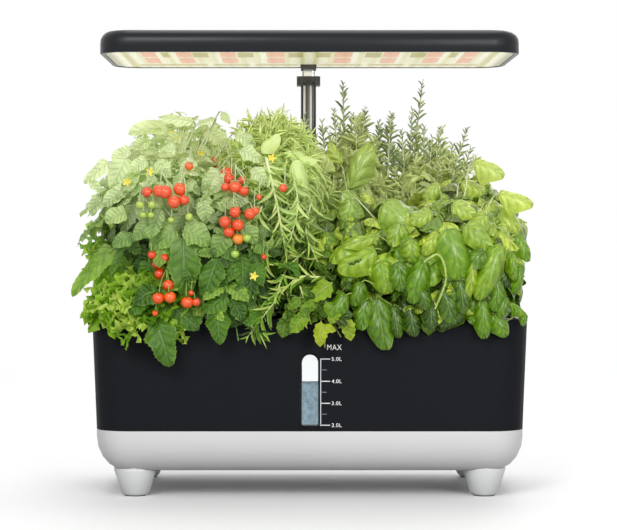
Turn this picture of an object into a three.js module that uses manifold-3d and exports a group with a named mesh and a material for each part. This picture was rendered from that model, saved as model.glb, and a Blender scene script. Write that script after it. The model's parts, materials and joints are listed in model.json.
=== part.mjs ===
// Countertop hydroponic garden: a two-part water tank on four feet, a deck with twelve planted
// net baskets, a circulation pump, and a light panel on a telescoping post.
// Millimetres, +Z up. Origin: on the table under the middle of the tank. +Y points to the back.
import * as THREE from 'three';
import { mergeVertices } from 'three/addons/utils/BufferGeometryUtils.js';
import Module from 'manifold-3d';

const wasm = await Module();
wasm.setup();

// Clearances
const fitGap = 0.3;
const nestGap = 0.5;
const overrun = 6;

// Tank
const rimWidth = 342;
const rimDepth = 190;
const rimHeight = 140;
const partingHeight = 53.1;
const tankDraft = 3.25;
const tankCornerRadius = 27;
const tankWall = 2.4;
const rimChamfer = 0.9;
const deckLedgeWidth = 4;
const deckLedgeHeight = 2.5;

// Base
const baseUnderside = 20.3;
const baseWall = 2.4;
const baseFilletAcross = 24;
const baseFilletUp = 27;

// Feet
const footInset = 33.5;
const footTopRadius = 17;
const footSoleRadius = 11.2;
const footSoleRound = 2.2;
const padRadius = 8.4;
const padThickness = 2.6;
const padProud = 0.8;

// Level window
const windowWidth = 12.4;
const windowAboveParting = 4.6;
const windowBelowRim = 27.3;
const gasketWidth = 1.2;
const gaugeWidth = 21;
const gaugeDepth = 8;
const gaugeWall = 1.6;
const gaugeOverlap = 4;

// Deck
const deckRecess = 2;
const deckThickness = 2.4;
const deckLipWidth = 5;
const deckLipHeight = 1.6;
const podEndInset = 66;
const podEdgeBand = 19.25;
const podRowShift = -1.5;
const podColumns = 4;
const podRows = 3;
const seatBore = 14.9;
const seatRadius = 18.2;
const seatHeight = 2.4;

// Net baskets
const basketFlangeRadius = 17.4;
const basketFlangeThickness = 1.5;
const basketTopRadius = 14.2;
const basketSoleRadius = 11.2;
const basketDepth = 48;
const basketWall = 1.3;
const basketSlotWidth = 3.4;
const basketSlotMargin = 7;
const basketSlotPairs = 2;

// Fill port and its flap
const portInset = 29.5;
const portWidth = 22;
const portDepth = 28;
const flapOverlap = 3.6;
const flapThickness = 2;
const flapHingeSide = 4.6;
const knuckleRadius = 2.3;
const knuckleLength = 26;
const hingePinRadius = 0.9;
const hingeBoreClearance = 0.35;
const hingeEarThickness = 3;
const hingeEarHalf = 2;

// Post
const postInset = 29;
const postTubeSide = 13;
const postTubeWall = 1.1;
const postCornerRadius = 3.1;
const railClearance = 0.2;
const railWall = 1.2;
const railTail = 75;
const plugLength = 9;
const plugFlange = 2;
const socketHeight = 34;
const socketWall = 2.2;
const socketFlange = 5;
const deckBossSide = 21;
const deckBossHeight = 5;
const collarSide = 20;
const collarHeight = 7.6;
const collarUnderside = 332.3;
const collarCornerRadius = 4.2;
const collarShoulder = 2.6;
const collarNotchWidth = 1.8;
const collarNotchSpacing = 8.4;

// Light panel
const panelWidth = 332;
const panelSetBack = 16;
const panelUnderside = 348.4;
const panelThickness = 18;
const panelCornerRadius = 24;
const panelTopRound = 9;
const panelRim = 3.8;
const panelTopWall = 2.4;
const panelRimChamfer = 0.5;
const boardSeatHeight = 7.9;
const boardSeatWidth = 3;
const ledBoardThickness = 1.6;
const ledColumns = 8;
const ledRows = 4;
const ledSide = 5;
const ledHeight = 1;
const ledMargin = 16;
const diffuserRecess = 0.5;
const diffuserThickness = 2;
const bracketWidth = 13;
const bracketAhead = 21;
const bracketDrop = 2.8;
const railInBracket = 9;
const bracketBackGap = 1;

// Controls and power inlet in the light panel
const buttonRadius = 4.6;
const buttonSpacing = 26;
const controlsAhead = 5;
const buttonProud = 0.9;
const buttonFlangeRadius = 6;
const buttonFlangeThickness = 1;
const buttonTravel = 0.6;
const controlBoardWidth = 66;
const controlBoardDepth = 20;
const controlBoardThickness = 1.6;
const controlBoardDrop = 6.2;
const standoffRadius = 2.6;
const standoffSpacing = 56;
const inletAcross = 46;
const inletRadius = 4.2;
const inletLength = 13;
const inletBore = 2.9;
const inletPinRadius = 1;
const inletHeight = 12.6;

// Pump
const pumpInset = 79;
const pumpBack = -2;
const pumpLength = 40;
const pumpBreadth = 34;
const pumpHeight = 32;
const pumpCornerRadius = 5;
const chamberRadius = 11;
const chamberDepth = 13;
const impellerRadius = 8.6;
const impellerWidth = 7;
const impellerHub = 3;
const impellerBlade = 1.8;
const impellerBlades = 6;
const impellerShaftRadius = 1;
const intakeCoverDepth = 7;
const intakeWall = 1.8;
const intakeSlots = 5;
const intakeSlotWidth = 2.2;
const outletRadius = 4.6;
const outletBore = 3;
const outletHeight = 18;
const outletFlangeRadius = 6.4;

// Plants
const spongeTopRadius = 11.2;
const spongeSoleRadius = 9.2;
const spongeDepth = 38;
const stemRadius = 3.2;
const sprigRadius = 5.2;
const sprigTipRadius = 1.8;
const sprigSides = 5;
const foliageClearance = 0.7;
const foliageFront = 110;
const foliageLeft = 186;
const foliageRight = 183;
const crownTop = 334;
const lowFoliage = 102;
const lettuceTop = 178;
const mintTop = 184;
const frontTop = 246;
const lettuceLean = 11;
const mintLeftLean = 7;
const mintRightLean = 11;
const herbRight = 2;
const basilLean = 14;
const flapSweepHeight = 38;
const flapSweepMargin = 4;

// Facet counts
const cornerSteps = 5;
const filletSteps = 5;
const roundSides = 16;
const basketSides = 10;
const smallSides = 10;

// Heights and spans that follow from the sizes above
const windowBottom = partingHeight + windowAboveParting;
const windowTop = rimHeight - windowBelowRim;
const podPitchAcross = (rimWidth - 2 * podEndInset) / (podColumns - 1);
const podPitchDeep = (rimDepth - 2 * podEdgeBand) / podRows;
const portCentre = rimWidth / 2 - portInset;
const pumpAcross = rimWidth / 2 - pumpInset;
const postBack = rimDepth / 2 - postInset;
const panelDepth = rimDepth - 2 * panelSetBack;
const bracketFront = postBack - bracketAhead;
const buttonBack = bracketFront - controlsAhead - controlBoardDepth / 2;
const deckTop = rimHeight - deckRecess;
const deckUnderside = deckTop - deckThickness;
const tankStep = partingHeight + fitGap;
const tubUnderside = baseUnderside + baseWall + fitGap;
const tubFloor = tubUnderside + tankWall;
const seatTop = deckTop + seatHeight;
const panelTop = panelUnderside + panelThickness;
const panelCeiling = panelTop - panelTopWall;
const railSide = postTubeSide - 2 * (postTubeWall + railClearance);
const railCornerRadius = postCornerRadius - postTubeWall - railClearance;
const railTop = panelUnderside - bracketDrop + railInBracket;
const collarTop = collarUnderside + collarHeight;
const socketFloor = tubFloor + fitGap + socketWall;
const postFoot = socketFloor + fitGap;
const podEnd = ((podColumns - 1) / 2) * podPitchAcross;
const lettuceRight = lettuceLean - podEnd;
const mintLeft = mintLeftLean - podPitchAcross / 2;
const mintRight = mintRightLean + podPitchAcross / 2;

// Colours and finishes
const finishes = {
  blackGloss: { color: '#1d1e21', roughness: 0.28, metalness: 0 },
  blackMatte: { color: '#26272a', roughness: 0.55, metalness: 0 },
  paleGrey: { color: '#cfd0d0', roughness: 0.45, metalness: 0 },
  footGrey: { color: '#c3c6c8', roughness: 0.45, metalness: 0 },
  rubber: { color: '#3a3b3d', roughness: 0.9, metalness: 0 },
  clear: { color: '#e9f2f4', roughness: 0.1, metalness: 0 },
  white: { color: '#f4f5f3', roughness: 0.5, metalness: 0 },
  steel: { color: '#d9dadb', roughness: 0.15, metalness: 1 },
  diffuser: { color: '#fff6dc', roughness: 0.5, metalness: 0 },
  circuit: { color: '#1f5a3c', roughness: 0.6, metalness: 0 },
  lettuce: { color: '#8fbf45', roughness: 0.7, metalness: 0 },
  tomato: { color: '#4f8440', roughness: 0.7, metalness: 0 },
  herb: { color: '#9fb86a', roughness: 0.7, metalness: 0 },
  mint: { color: '#9cbb3a', roughness: 0.7, metalness: 0 },
  basil: { color: '#6fa52c', roughness: 0.6, metalness: 0 },
  rosemary: { color: '#6d8a5e', roughness: 0.7, metalness: 0 },
};

const garden = new THREE.Group();

// Solids
function solidOf(geometry) {
  const bare = geometry.clone();
  bare.deleteAttribute('normal');
  bare.deleteAttribute('uv');
  const merged = mergeVertices(bare);
  const corners = merged.index.array;
  const triangles = [];
  for (let i = 0; i < corners.length; i += 3) {
    const [a, b, c] = corners.slice(i, i + 3);
    if (a !== b && b !== c && c !== a) triangles.push(a, b, c);
  }
  const mesh = new wasm.Mesh({
    numProp: 3,
    vertProperties: merged.attributes.position.array,
    triVerts: new Uint32Array(triangles),
  });
  return new wasm.Manifold(mesh);
}

function geometryOf(solid) {
  const mesh = solid.getMesh();
  const geometry = new THREE.BufferGeometry();
  geometry.setAttribute('position', new THREE.BufferAttribute(mesh.vertProperties, 3));
  geometry.setIndex(new THREE.BufferAttribute(mesh.triVerts, 1));
  geometry.computeVertexNormals();
  return geometry;
}

function place(name, finish, solid, parent = garden) {
  const mesh = new THREE.Mesh(geometryOf(solid), new THREE.MeshStandardMaterial(finishes[finish]));
  mesh.name = name;
  parent.add(mesh);
  return mesh;
}

function box(x0, x1, y0, y1, z0, z1) {
  const geometry = new THREE.BoxGeometry(x1 - x0, y1 - y0, z1 - z0);
  geometry.translate((x0 + x1) / 2, (y0 + y1) / 2, (z0 + z1) / 2);
  return solidOf(geometry);
}

// A rod between two heights, tapered where the radii differ
function rod(x, y, z0, z1, radius, topRadius = radius, sides = roundSides) {
  const geometry = new THREE.CylinderGeometry(topRadius, radius, z1 - z0, sides);
  geometry.rotateX(Math.PI / 2);
  geometry.translate(x, y, (z0 + z1) / 2);
  return solidOf(geometry);
}

// A rod that lies along Y, or along X
function rodDeep(x, z, y0, y1, radius, sides = roundSides) {
  const geometry = new THREE.CylinderGeometry(radius, radius, y1 - y0, sides);
  geometry.translate(x, (y0 + y1) / 2, z);
  return solidOf(geometry);
}

function rodAcross(y, z, x0, x1, radius, sides = roundSides) {
  const geometry = new THREE.CylinderGeometry(radius, radius, x1 - x0, sides);
  geometry.rotateZ(Math.PI / 2);
  geometry.translate((x0 + x1) / 2, y, z);
  return solidOf(geometry);
}

// A revolved body: its profile runs from the axis, outward and up, back to the axis
function revolve(profile, x, y, sides = roundSides) {
  const geometry = new THREE.LatheGeometry(profile.map(([r, z]) => new THREE.Vector2(r, z)), sides);
  geometry.rotateX(Math.PI / 2);
  geometry.translate(x, y, 0);
  return solidOf(geometry);
}

// The points of a rectangle with round corners, anticlockwise
function roundedOutline(width, depth, radius) {
  const points = [];
  for (let corner = 0; corner < 4; corner++) {
    const start = (corner * Math.PI) / 2;
    const acrossSign = corner === 0 || corner === 3 ? 1 : -1;
    const deepSign = corner < 2 ? 1 : -1;
    for (let step = 0; step <= cornerSteps; step++) {
      const angle = start + (step / cornerSteps) * (Math.PI / 2);
      const x = acrossSign * (width / 2 - radius) + radius * Math.cos(angle);
      const y = deepSign * (depth / 2 - radius) + radius * Math.sin(angle);
      points.push([x, y]);
    }
  }
  return points;
}

// A body lofted through rounded rectangles, from the lowest to the highest
function loft(sections, x = 0, y = 0) {
  const rings = sections.map(([, width, depth, radius]) => roundedOutline(width, depth, radius));
  const count = rings[0].length;
  const positions = [];
  rings.forEach((ring, i) => ring.forEach(([px, py]) => positions.push(px + x, py + y, sections[i][0])));
  positions.push(x, y, sections[0][0], x, y, sections[sections.length - 1][0]);
  const lowCentre = count * rings.length;
  const highCentre = lowCentre + 1;
  const lastRing = count * (rings.length - 1);
  const faces = [];
  for (let i = 0; i < count; i++) {
    const next = (i + 1) % count;
    faces.push(lowCentre, next, i, highCentre, lastRing + i, lastRing + next);
    for (let ring = 0; ring < rings.length - 1; ring++) {
      const low = ring * count;
      const high = low + count;
      faces.push(low + i, low + next, high + next, low + i, high + next, high + i);
    }
  }
  const geometry = new THREE.BufferGeometry();
  geometry.setAttribute('position', new THREE.Float32BufferAttribute(positions, 3));
  geometry.setIndex(faces);
  return solidOf(geometry);
}

function block(x, y, z0, z1, width, depth, radius) {
  return loft([[z0, width, depth, radius], [z1, width, depth, radius]], x, y);
}

// An arch-topped prism that runs along Y, centred on X
function archPrism(halfWidth, z0, z1, y0, y1) {
  const shape = new THREE.Shape();
  shape.moveTo(-halfWidth, z0);
  shape.lineTo(halfWidth, z0);
  shape.lineTo(halfWidth, z1 - halfWidth);
  shape.absarc(0, z1 - halfWidth, halfWidth, 0, Math.PI, false);
  shape.closePath();
  const geometry = new THREE.ExtrudeGeometry(shape, {
    depth: y1 - y0,
    bevelEnabled: false,
    curveSegments: smallSides,
  });
  geometry.rotateX(Math.PI / 2);
  geometry.translate(0, y1, 0);
  return solidOf(geometry);
}

// Elliptic fillet under a tub: each section is drawn in less as it rises
function filletSections(z, width, depth, radius, across, up) {
  const sections = [];
  for (let step = 0; step <= filletSteps; step++) {
    const angle = (step / filletSteps) * (Math.PI / 2);
    const inset = across * (1 - Math.sin(angle));
    const height = z + up * (1 - Math.cos(angle));
    sections.push([height, width - 2 * inset, depth - 2 * inset, radius - inset]);
  }
  return sections;
}

// Tank walls lean out by the draft between the parting line and the rim
function draftAt(z) {
  return (tankDraft * (rimHeight - z)) / (rimHeight - partingHeight);
}

function tankSection(z, inset) {
  const narrower = 2 * (draftAt(z) + inset);
  return [z, rimWidth - narrower, rimDepth - narrower, tankCornerRadius - inset];
}

const partingWidth = rimWidth - 2 * tankDraft;
const partingDepth = rimDepth - 2 * tankDraft;

// Base shell and feet
function baseBody(inset, floorRise, top) {
  const sections = filletSections(
    baseUnderside + floorRise,
    partingWidth - 2 * inset,
    partingDepth - 2 * inset,
    tankCornerRadius - inset,
    baseFilletAcross - inset,
    baseFilletUp - inset,
  );
  sections.push([top, partingWidth - 2 * inset, partingDepth - 2 * inset, tankCornerRadius - inset]);
  return loft(sections);
}

function baseShell() {
  return baseBody(0, 0, partingHeight).subtract(baseBody(baseWall, baseWall, partingHeight + overrun));
}

function foot(x, y) {
  const soleHeight = padProud;
  const profile = [
    [0, soleHeight],
    [footSoleRadius - footSoleRound, soleHeight],
    [footSoleRadius, soleHeight + footSoleRound],
    [footTopRadius, baseUnderside],
    [footTopRadius, baseUnderside + baseFilletUp / 2],
    [0, baseUnderside + baseFilletUp / 2],
  ];
  const padRecess = rod(x, y, 0, padThickness + fitGap, padRadius + fitGap);
  return revolve(profile, x, y)
    .subtract(baseBody(-fitGap, -fitGap, partingHeight))
    .subtract(padRecess);
}

const footAcross = partingWidth / 2 - footInset + tankDraft;
const footBack = partingDepth / 2 - footInset + tankDraft;
place('base_shell', 'paleGrey', baseShell());
for (const [side, xSign] of [['left', -1], ['right', 1]]) {
  for (const [end, ySign] of [['front', -1], ['rear', 1]]) {
    const x = xSign * footAcross;
    const y = ySign * footBack;
    place(`foot_${end}_${side}`, 'footGrey', foot(x, y));
    place(`foot_pad_${end}_${side}`, 'rubber', rod(x, y, 0, padThickness, padRadius));
  }
}

// Tank: the upper walls stand on the base's edge and the tub below nests inside the base
function tubSections(inset, floorRise, top) {
  const inward = baseWall + nestGap + inset;
  const sections = filletSections(
    tubUnderside + floorRise,
    partingWidth - 2 * inward,
    partingDepth - 2 * inward,
    tankCornerRadius - inward,
    baseFilletAcross - inward,
    baseFilletUp - inward,
  );
  sections.push([top, partingWidth - 2 * inward, partingDepth - 2 * inward, tankCornerRadius - inward]);
  return sections;
}

const ledgeTop = deckUnderside - fitGap;
const ledgeUnderside = ledgeTop - deckLedgeHeight;

function tankSolid() {
  const outside = loft([
    ...tubSections(0, 0, tankStep),
    tankSection(tankStep, 0),
    tankSection(rimHeight - rimChamfer, 0),
    tankSection(rimHeight, rimChamfer),
  ]);
  const inside = loft([
    ...tubSections(tankWall, tankWall, tankStep + tankWall),
    tankSection(tankStep + tankWall, tankWall),
    tankSection(ledgeUnderside, tankWall),
    tankSection(ledgeUnderside + deckLedgeWidth / 2, tankWall + deckLedgeWidth),
    tankSection(ledgeTop, tankWall + deckLedgeWidth),
    tankSection(ledgeTop, tankWall),
    tankSection(rimHeight + overrun, tankWall),
  ]);
  return outside.subtract(inside);
}

// The pane, its gasket and the gauge channel fill the slot in the front wall
const windowHalf = windowWidth / 2;
const slotHalf = windowHalf + gasketWidth + 2 * fitGap;
const frontReach = -rimDepth / 2 - overrun;
const frontInner = -partingDepth / 2 + tankWall + overrun;
const tankWhole = tankSolid();
const slotMargin = slotHalf - windowHalf;
const windowSlot = archPrism(slotHalf, windowBottom - slotMargin, windowTop + slotMargin, frontReach, frontInner);
const gasketOuter = archPrism(slotHalf - fitGap, windowBottom - slotMargin + fitGap,
  windowTop + slotMargin - fitGap, frontReach, frontInner);
const gasketInner = archPrism(windowHalf + fitGap, windowBottom - fitGap, windowTop + fitGap,
  frontReach, frontInner);
const panePrism = archPrism(windowHalf, windowBottom, windowTop, frontReach, frontInner);
place('tank', 'blackGloss', tankWhole.subtract(windowSlot));
place('window_gasket', 'rubber', tankWhole.intersect(gasketOuter.subtract(gasketInner)));
place('window_pane', 'clear', tankWhole.intersect(panePrism));

function gaugeChannel() {
  const half = gaugeWidth / 2;
  const bottom = tankStep + tankWall + fitGap;
  const top = windowTop + slotMargin + gaugeOverlap;
  const wallLine = -rimDepth / 2 + draftAt(bottom) + tankWall;
  const back = wallLine + gaugeDepth;
  const channel = box(-half, half, frontReach, back, bottom, top);
  const hollow = box(-half + gaugeWall, half - gaugeWall, frontReach, back - gaugeWall,
    bottom - overrun, top + overrun);
  const room = loft([tankSection(bottom, tankWall + fitGap), tankSection(top, tankWall + fitGap)]);
  return channel.subtract(hollow).intersect(room);
}
place('gauge_channel', 'white', gaugeChannel());

// Socket for the post: a square sleeve on a foot that follows the tub's floor and fillet
function postSocket() {
  const side = postTubeSide + 2 * (fitGap + socketWall);
  const footSide = side + 2 * socketFlange;
  const bore = postTubeSide + 2 * fitGap;
  const sleeve = block(0, postBack, tubFloor, tubFloor + socketHeight, side, side,
    postCornerRadius + socketWall);
  const sole = block(0, postBack, tubFloor, socketFloor, footSide, footSide, postCornerRadius);
  const inTub = loft(tubSections(tankWall + fitGap, tankWall + fitGap, rimHeight));
  return sleeve.add(sole).intersect(inTub)
    .subtract(block(0, postBack, socketFloor, rimHeight, bore, bore, postCornerRadius));
}
place('post_socket', 'blackMatte', postSocket());

// Deck
function podPlaces() {
  const places = [];
  for (let row = 0; row < podRows; row++) {
    for (let column = 0; column < podColumns; column++) {
      places.push([
        (column - (podColumns - 1) / 2) * podPitchAcross,
        (row - (podRows - 1) / 2) * podPitchDeep + podRowShift,
      ]);
    }
  }
  return places;
}

const deckEdge = tankWall + fitGap;
const flapDepth = portDepth + 2 * flapOverlap;
const hingeAcross = portCentre + portWidth / 2 + flapOverlap + flapHingeSide;
const hingeHeight = deckTop + fitGap + knuckleRadius;
const earInner = knuckleLength / 2 + fitGap;
const earOuter = earInner + hingeEarThickness;

function hingeEar(side) {
  const y0 = side > 0 ? earInner : -earOuter;
  const y1 = side > 0 ? earOuter : -earInner;
  const post = box(hingeAcross - hingeEarHalf, hingeAcross + hingeEarHalf, y0, y1,
    deckTop - deckThickness / 2, hingeHeight);
  return post.add(rodDeep(hingeAcross, hingeHeight, y0, y1, hingeEarHalf, smallSides));
}

function deckSolid() {
  const lipTop = deckTop + deckLipHeight;
  let deck = loft([tankSection(deckUnderside, deckEdge), tankSection(lipTop, deckEdge)]);
  const pocket = deckEdge + deckLipWidth;
  deck = deck.subtract(loft([tankSection(deckTop, pocket), tankSection(lipTop + overrun, pocket)]));
  for (const [x, y] of podPlaces()) {
    deck = deck.add(rod(x, y, deckUnderside, seatTop, seatRadius, seatRadius - fitGap));
  }
  deck = deck.add(block(0, postBack, deckUnderside, deckTop + deckBossHeight, deckBossSide,
    deckBossSide, postCornerRadius));
  deck = deck.add(hingeEar(1)).add(hingeEar(-1));
  for (const [x, y] of podPlaces()) {
    deck = deck.subtract(rod(x, y, deckUnderside - overrun, seatTop + overrun, seatBore));
  }
  deck = deck.subtract(block(0, postBack, deckUnderside - overrun, deckTop + deckBossHeight + overrun,
    postTubeSide + 2 * fitGap, postTubeSide + 2 * fitGap, postCornerRadius));
  deck = deck.subtract(block(portCentre, 0, deckUnderside - overrun, deckTop + overrun, portWidth,
    portDepth, knuckleRadius));
  const pinHole = rodDeep(hingeAcross, hingeHeight, -earOuter - overrun, earOuter + overrun,
    hingePinRadius + fitGap, smallSides);
  return deck.subtract(pinHole);
}
place('deck', 'blackMatte', deckSolid());

// Fill flap
function flapSolid() {
  const left = portCentre - portWidth / 2 - flapOverlap;
  const right = portCentre + portWidth / 2 + flapOverlap;
  const plateBottom = deckTop + fitGap;
  const plateTop = plateBottom + flapThickness;
  const centre = (left + right) / 2;
  const plate = block(centre, 0, plateBottom, plateTop, right - left, flapDepth, knuckleRadius);
  const tongue = box(right - knuckleRadius, hingeAcross, -knuckleLength / 2, knuckleLength / 2,
    plateBottom, plateTop);
  const knuckle = rodDeep(hingeAcross, hingeHeight, -knuckleLength / 2, knuckleLength / 2,
    knuckleRadius, smallSides);
  const bore = rodDeep(hingeAcross, hingeHeight, -knuckleLength, knuckleLength,
    hingePinRadius + hingeBoreClearance, smallSides);
  const thumbGrip = box(left - overrun, left + flapOverlap / 2, -portDepth / 6, portDepth / 6,
    plateBottom - overrun, plateBottom + flapThickness / 2);
  return plate.add(tongue).add(knuckle).subtract(bore).subtract(thumbGrip);
}
place('fill_flap', 'blackGloss', flapSolid());
place('flap_hinge_pin', 'steel', rodDeep(hingeAcross, hingeHeight, -earOuter, earOuter,
  hingePinRadius, smallSides));

// Net baskets
function basket(x, y) {
  const flangeBottom = seatTop + fitGap;
  const flangeTop = flangeBottom + basketFlangeThickness;
  const sole = flangeBottom - basketDepth;
  const profile = [
    [0, sole],
    [basketSoleRadius, sole],
    [basketTopRadius, flangeBottom],
    [basketFlangeRadius, flangeBottom],
    [basketFlangeRadius, flangeTop],
    [basketTopRadius - basketWall, flangeTop],
    [basketSoleRadius - basketWall, sole + basketWall],
    [0, sole + basketWall],
  ];
  let body = revolve(profile, x, y, basketSides);
  for (let pair = 0; pair < basketSlotPairs; pair++) {
    const slot = new THREE.BoxGeometry(
      2 * basketFlangeRadius, basketSlotWidth, basketDepth - 2 * basketSlotMargin);
    slot.rotateZ((pair * Math.PI) / basketSlotPairs + Math.PI / basketSides);
    slot.translate(x, y, sole + basketDepth / 2);
    body = body.subtract(solidOf(slot));
  }
  return body;
}

// Post, collar and telescoping rail
function squareTube(side, wall, radius, z0, z1) {
  const bore = side - 2 * wall;
  return block(0, postBack, z0, z1, side, side, radius)
    .subtract(block(0, postBack, z0 - overrun, z1 + overrun, bore, bore, radius - wall));
}

const postTop = collarTop - collarShoulder - fitGap;
place('post_tube', 'steel', squareTube(postTubeSide, postTubeWall, postCornerRadius, postFoot, postTop));

function collar() {
  const front = postBack - collarSide / 2;
  let body = block(0, postBack, collarUnderside, collarTop, collarSide, collarSide, collarCornerRadius);
  const socketSide = postTubeSide + 2 * fitGap;
  body = body.subtract(block(0, postBack, collarUnderside - overrun, collarTop - collarShoulder,
    socketSide, socketSide, postCornerRadius));
  const railHole = railSide + 2 * fitGap;
  body = body.subtract(block(0, postBack, collarUnderside, collarTop + overrun, railHole, railHole,
    railCornerRadius));
  for (const side of [-1, 1]) {
    const x = (side * collarNotchSpacing) / 2;
    const half = collarNotchWidth / 2;
    body = body.subtract(box(x - half, x + half, front - overrun, front + collarNotchWidth,
      collarUnderside - overrun, collarUnderside + collarHeight / 3));
  }
  return body;
}
place('post_collar', 'blackMatte', collar());
place('post_rail', 'steel', squareTube(railSide, railWall, railCornerRadius, railTail, railTop));

function railPlug() {
  const spigotSide = railSide - 2 * (railWall + fitGap);
  const spigotRadius = railCornerRadius / 2;
  return block(0, postBack, railTail - fitGap - plugFlange, railTail - fitGap, railSide, railSide,
    railCornerRadius)
    .add(block(0, postBack, railTail - fitGap - plugFlange, railTail + plugLength, spigotSide,
      spigotSide, spigotRadius));
}
place('rail_plug', 'blackMatte', railPlug());

// Light panel housing: open below, with a seat for the board and standoffs for the controls
const panelBack = panelDepth / 2;
const boardTop = panelUnderside + boardSeatHeight - fitGap;
const controlBoardTop = panelCeiling - controlBoardDrop;

function panelHousing() {
  const sections = [
    [panelUnderside, panelWidth - 2 * panelRimChamfer, panelDepth - 2 * panelRimChamfer, panelCornerRadius - panelRimChamfer],
    [panelUnderside + panelRimChamfer, panelWidth, panelDepth, panelCornerRadius],
  ];
  for (let step = 0; step <= filletSteps; step++) {
    const angle = (step / filletSteps) * (Math.PI / 2);
    const inset = panelTopRound * (1 - Math.cos(angle));
    const height = panelTop - panelTopRound * (1 - Math.sin(angle));
    sections.push([height, panelWidth - 2 * inset, panelDepth - 2 * inset, panelCornerRadius - inset]);
  }
  const seat = panelUnderside + boardSeatHeight;
  const inset = panelRim + boardSeatWidth;
  const shoulder = panelTop - panelTopRound;
  const cavity = loft([
    [panelUnderside - overrun, panelWidth - 2 * panelRim, panelDepth - 2 * panelRim, panelCornerRadius - panelRim],
    [seat, panelWidth - 2 * panelRim, panelDepth - 2 * panelRim, panelCornerRadius - panelRim],
    [seat, panelWidth - 2 * inset, panelDepth - 2 * inset, panelCornerRadius - inset],
    [Math.max(shoulder, seat + fitGap), panelWidth - 2 * inset, panelDepth - 2 * inset, panelCornerRadius - inset],
    [panelCeiling, panelWidth - 2 * panelTopRound - 2 * panelTopWall,
      panelDepth - 2 * panelTopRound - 2 * panelTopWall, panelCornerRadius - panelTopRound - panelTopWall],
  ]);
  let body = loft(sections).subtract(cavity);
  for (const side of [-1, 1]) {
    const x = (side * standoffSpacing) / 2;
    body = body.add(rod(x, buttonBack, controlBoardTop + fitGap, panelCeiling + panelTopWall / 2,
      standoffRadius, standoffRadius, smallSides));
    body = body.subtract(rod((side * buttonSpacing) / 2, buttonBack, panelCeiling - overrun,
      panelTop + overrun, buttonRadius + fitGap));
  }
  return body.subtract(rodDeep(inletAcross, panelUnderside + inletHeight, panelBack - inletLength,
    panelBack + overrun, inletRadius + fitGap, smallSides));
}
place('panel_housing', 'blackGloss', panelHousing());

// Board and cover are both cut out round the bracket at the middle of the rear edge
function bracketNotch() {
  const half = bracketWidth / 2 + fitGap;
  return box(-half, half, bracketFront - fitGap, panelBack + overrun, panelUnderside - overrun,
    panelCeiling);
}

function ledBoard() {
  const inset = panelRim + fitGap;
  let board = block(0, 0, boardTop - ledBoardThickness, boardTop, panelWidth - 2 * inset,
    panelDepth - 2 * inset, panelCornerRadius - inset);
  const acrossSpan = panelWidth - 2 * (inset + ledMargin);
  const deepSpan = panelDepth - 2 * (inset + ledMargin);
  const chipTop = boardTop - ledBoardThickness / 2;
  const chipBottom = boardTop - ledBoardThickness - ledHeight;
  for (let column = 0; column < ledColumns; column++) {
    for (let row = 0; row < ledRows; row++) {
      const x = (column / (ledColumns - 1) - 1 / 2) * acrossSpan;
      const y = (row / (ledRows - 1) - 1 / 2) * deepSpan;
      board = board.add(box(x - ledSide / 2, x + ledSide / 2, y - ledSide / 2, y + ledSide / 2,
        chipBottom, chipTop));
    }
  }
  return board.subtract(bracketNotch());
}
place('led_board', 'white', ledBoard());

function diffuser() {
  const inset = panelRim + fitGap;
  const bottom = panelUnderside + diffuserRecess;
  return block(0, 0, bottom, bottom + diffuserThickness, panelWidth - 2 * inset,
    panelDepth - 2 * inset, panelCornerRadius - inset).subtract(bracketNotch());
}
place('light_diffuser', 'diffuser', diffuser());

function bracket() {
  const half = bracketWidth / 2;
  const bottom = panelUnderside - bracketDrop;
  const lower = box(-half, half, bracketFront, panelBack - panelRim - bracketBackGap, bottom, boardTop);
  const upper = box(-half, half, bracketFront, panelBack - panelTopRound - panelTopWall - fitGap,
    bottom, panelCeiling - fitGap);
  const hole = railSide + 2 * fitGap;
  return lower.add(upper).subtract(block(0, postBack, bottom - overrun, railTop + fitGap, hole, hole,
    railCornerRadius));
}
place('panel_bracket', 'blackMatte', bracket());

function controlBoard() {
  const top = controlBoardTop;
  return box(-controlBoardWidth / 2, controlBoardWidth / 2, buttonBack - controlBoardDepth / 2,
    buttonBack + controlBoardDepth / 2, top - controlBoardThickness, top);
}
place('control_board', 'circuit', controlBoard());

function button(x) {
  const flangeTop = panelCeiling - fitGap;
  const flangeBottom = flangeTop - buttonFlangeThickness;
  const stemBottom = controlBoardTop + fitGap + buttonTravel;
  return rod(x, buttonBack, flangeBottom, panelTop + buttonProud, buttonRadius)
    .add(rod(x, buttonBack, flangeBottom, flangeTop, buttonFlangeRadius))
    .add(rod(x, buttonBack, stemBottom, flangeTop, buttonRadius / 2, buttonRadius / 2, smallSides));
}
place('power_button', 'blackMatte', button(-buttonSpacing / 2));
place('mode_button', 'blackMatte', button(buttonSpacing / 2));

function powerInlet() {
  const z = panelUnderside + inletHeight;
  const front = panelBack - inletLength;
  const body = rodDeep(inletAcross, z, front + fitGap, panelBack, inletRadius, smallSides);
  const socket = rodDeep(inletAcross, z, front + inletLength / 3, panelBack + overrun, inletBore,
    smallSides);
  const pin = rodDeep(inletAcross, z, front + inletLength / 4, panelBack - inletLength / 4,
    inletPinRadius, smallSides);
  return body.subtract(socket).add(pin);
}
place('power_inlet', 'blackMatte', powerInlet());

// Pump on the tank floor: chamber, impeller, slotted intake cover and outlet
const pumpFloor = tubFloor + fitGap;
const pumpLeft = pumpAcross - pumpLength / 2;
const chamberHeight = pumpFloor + pumpHeight / 2;

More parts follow.
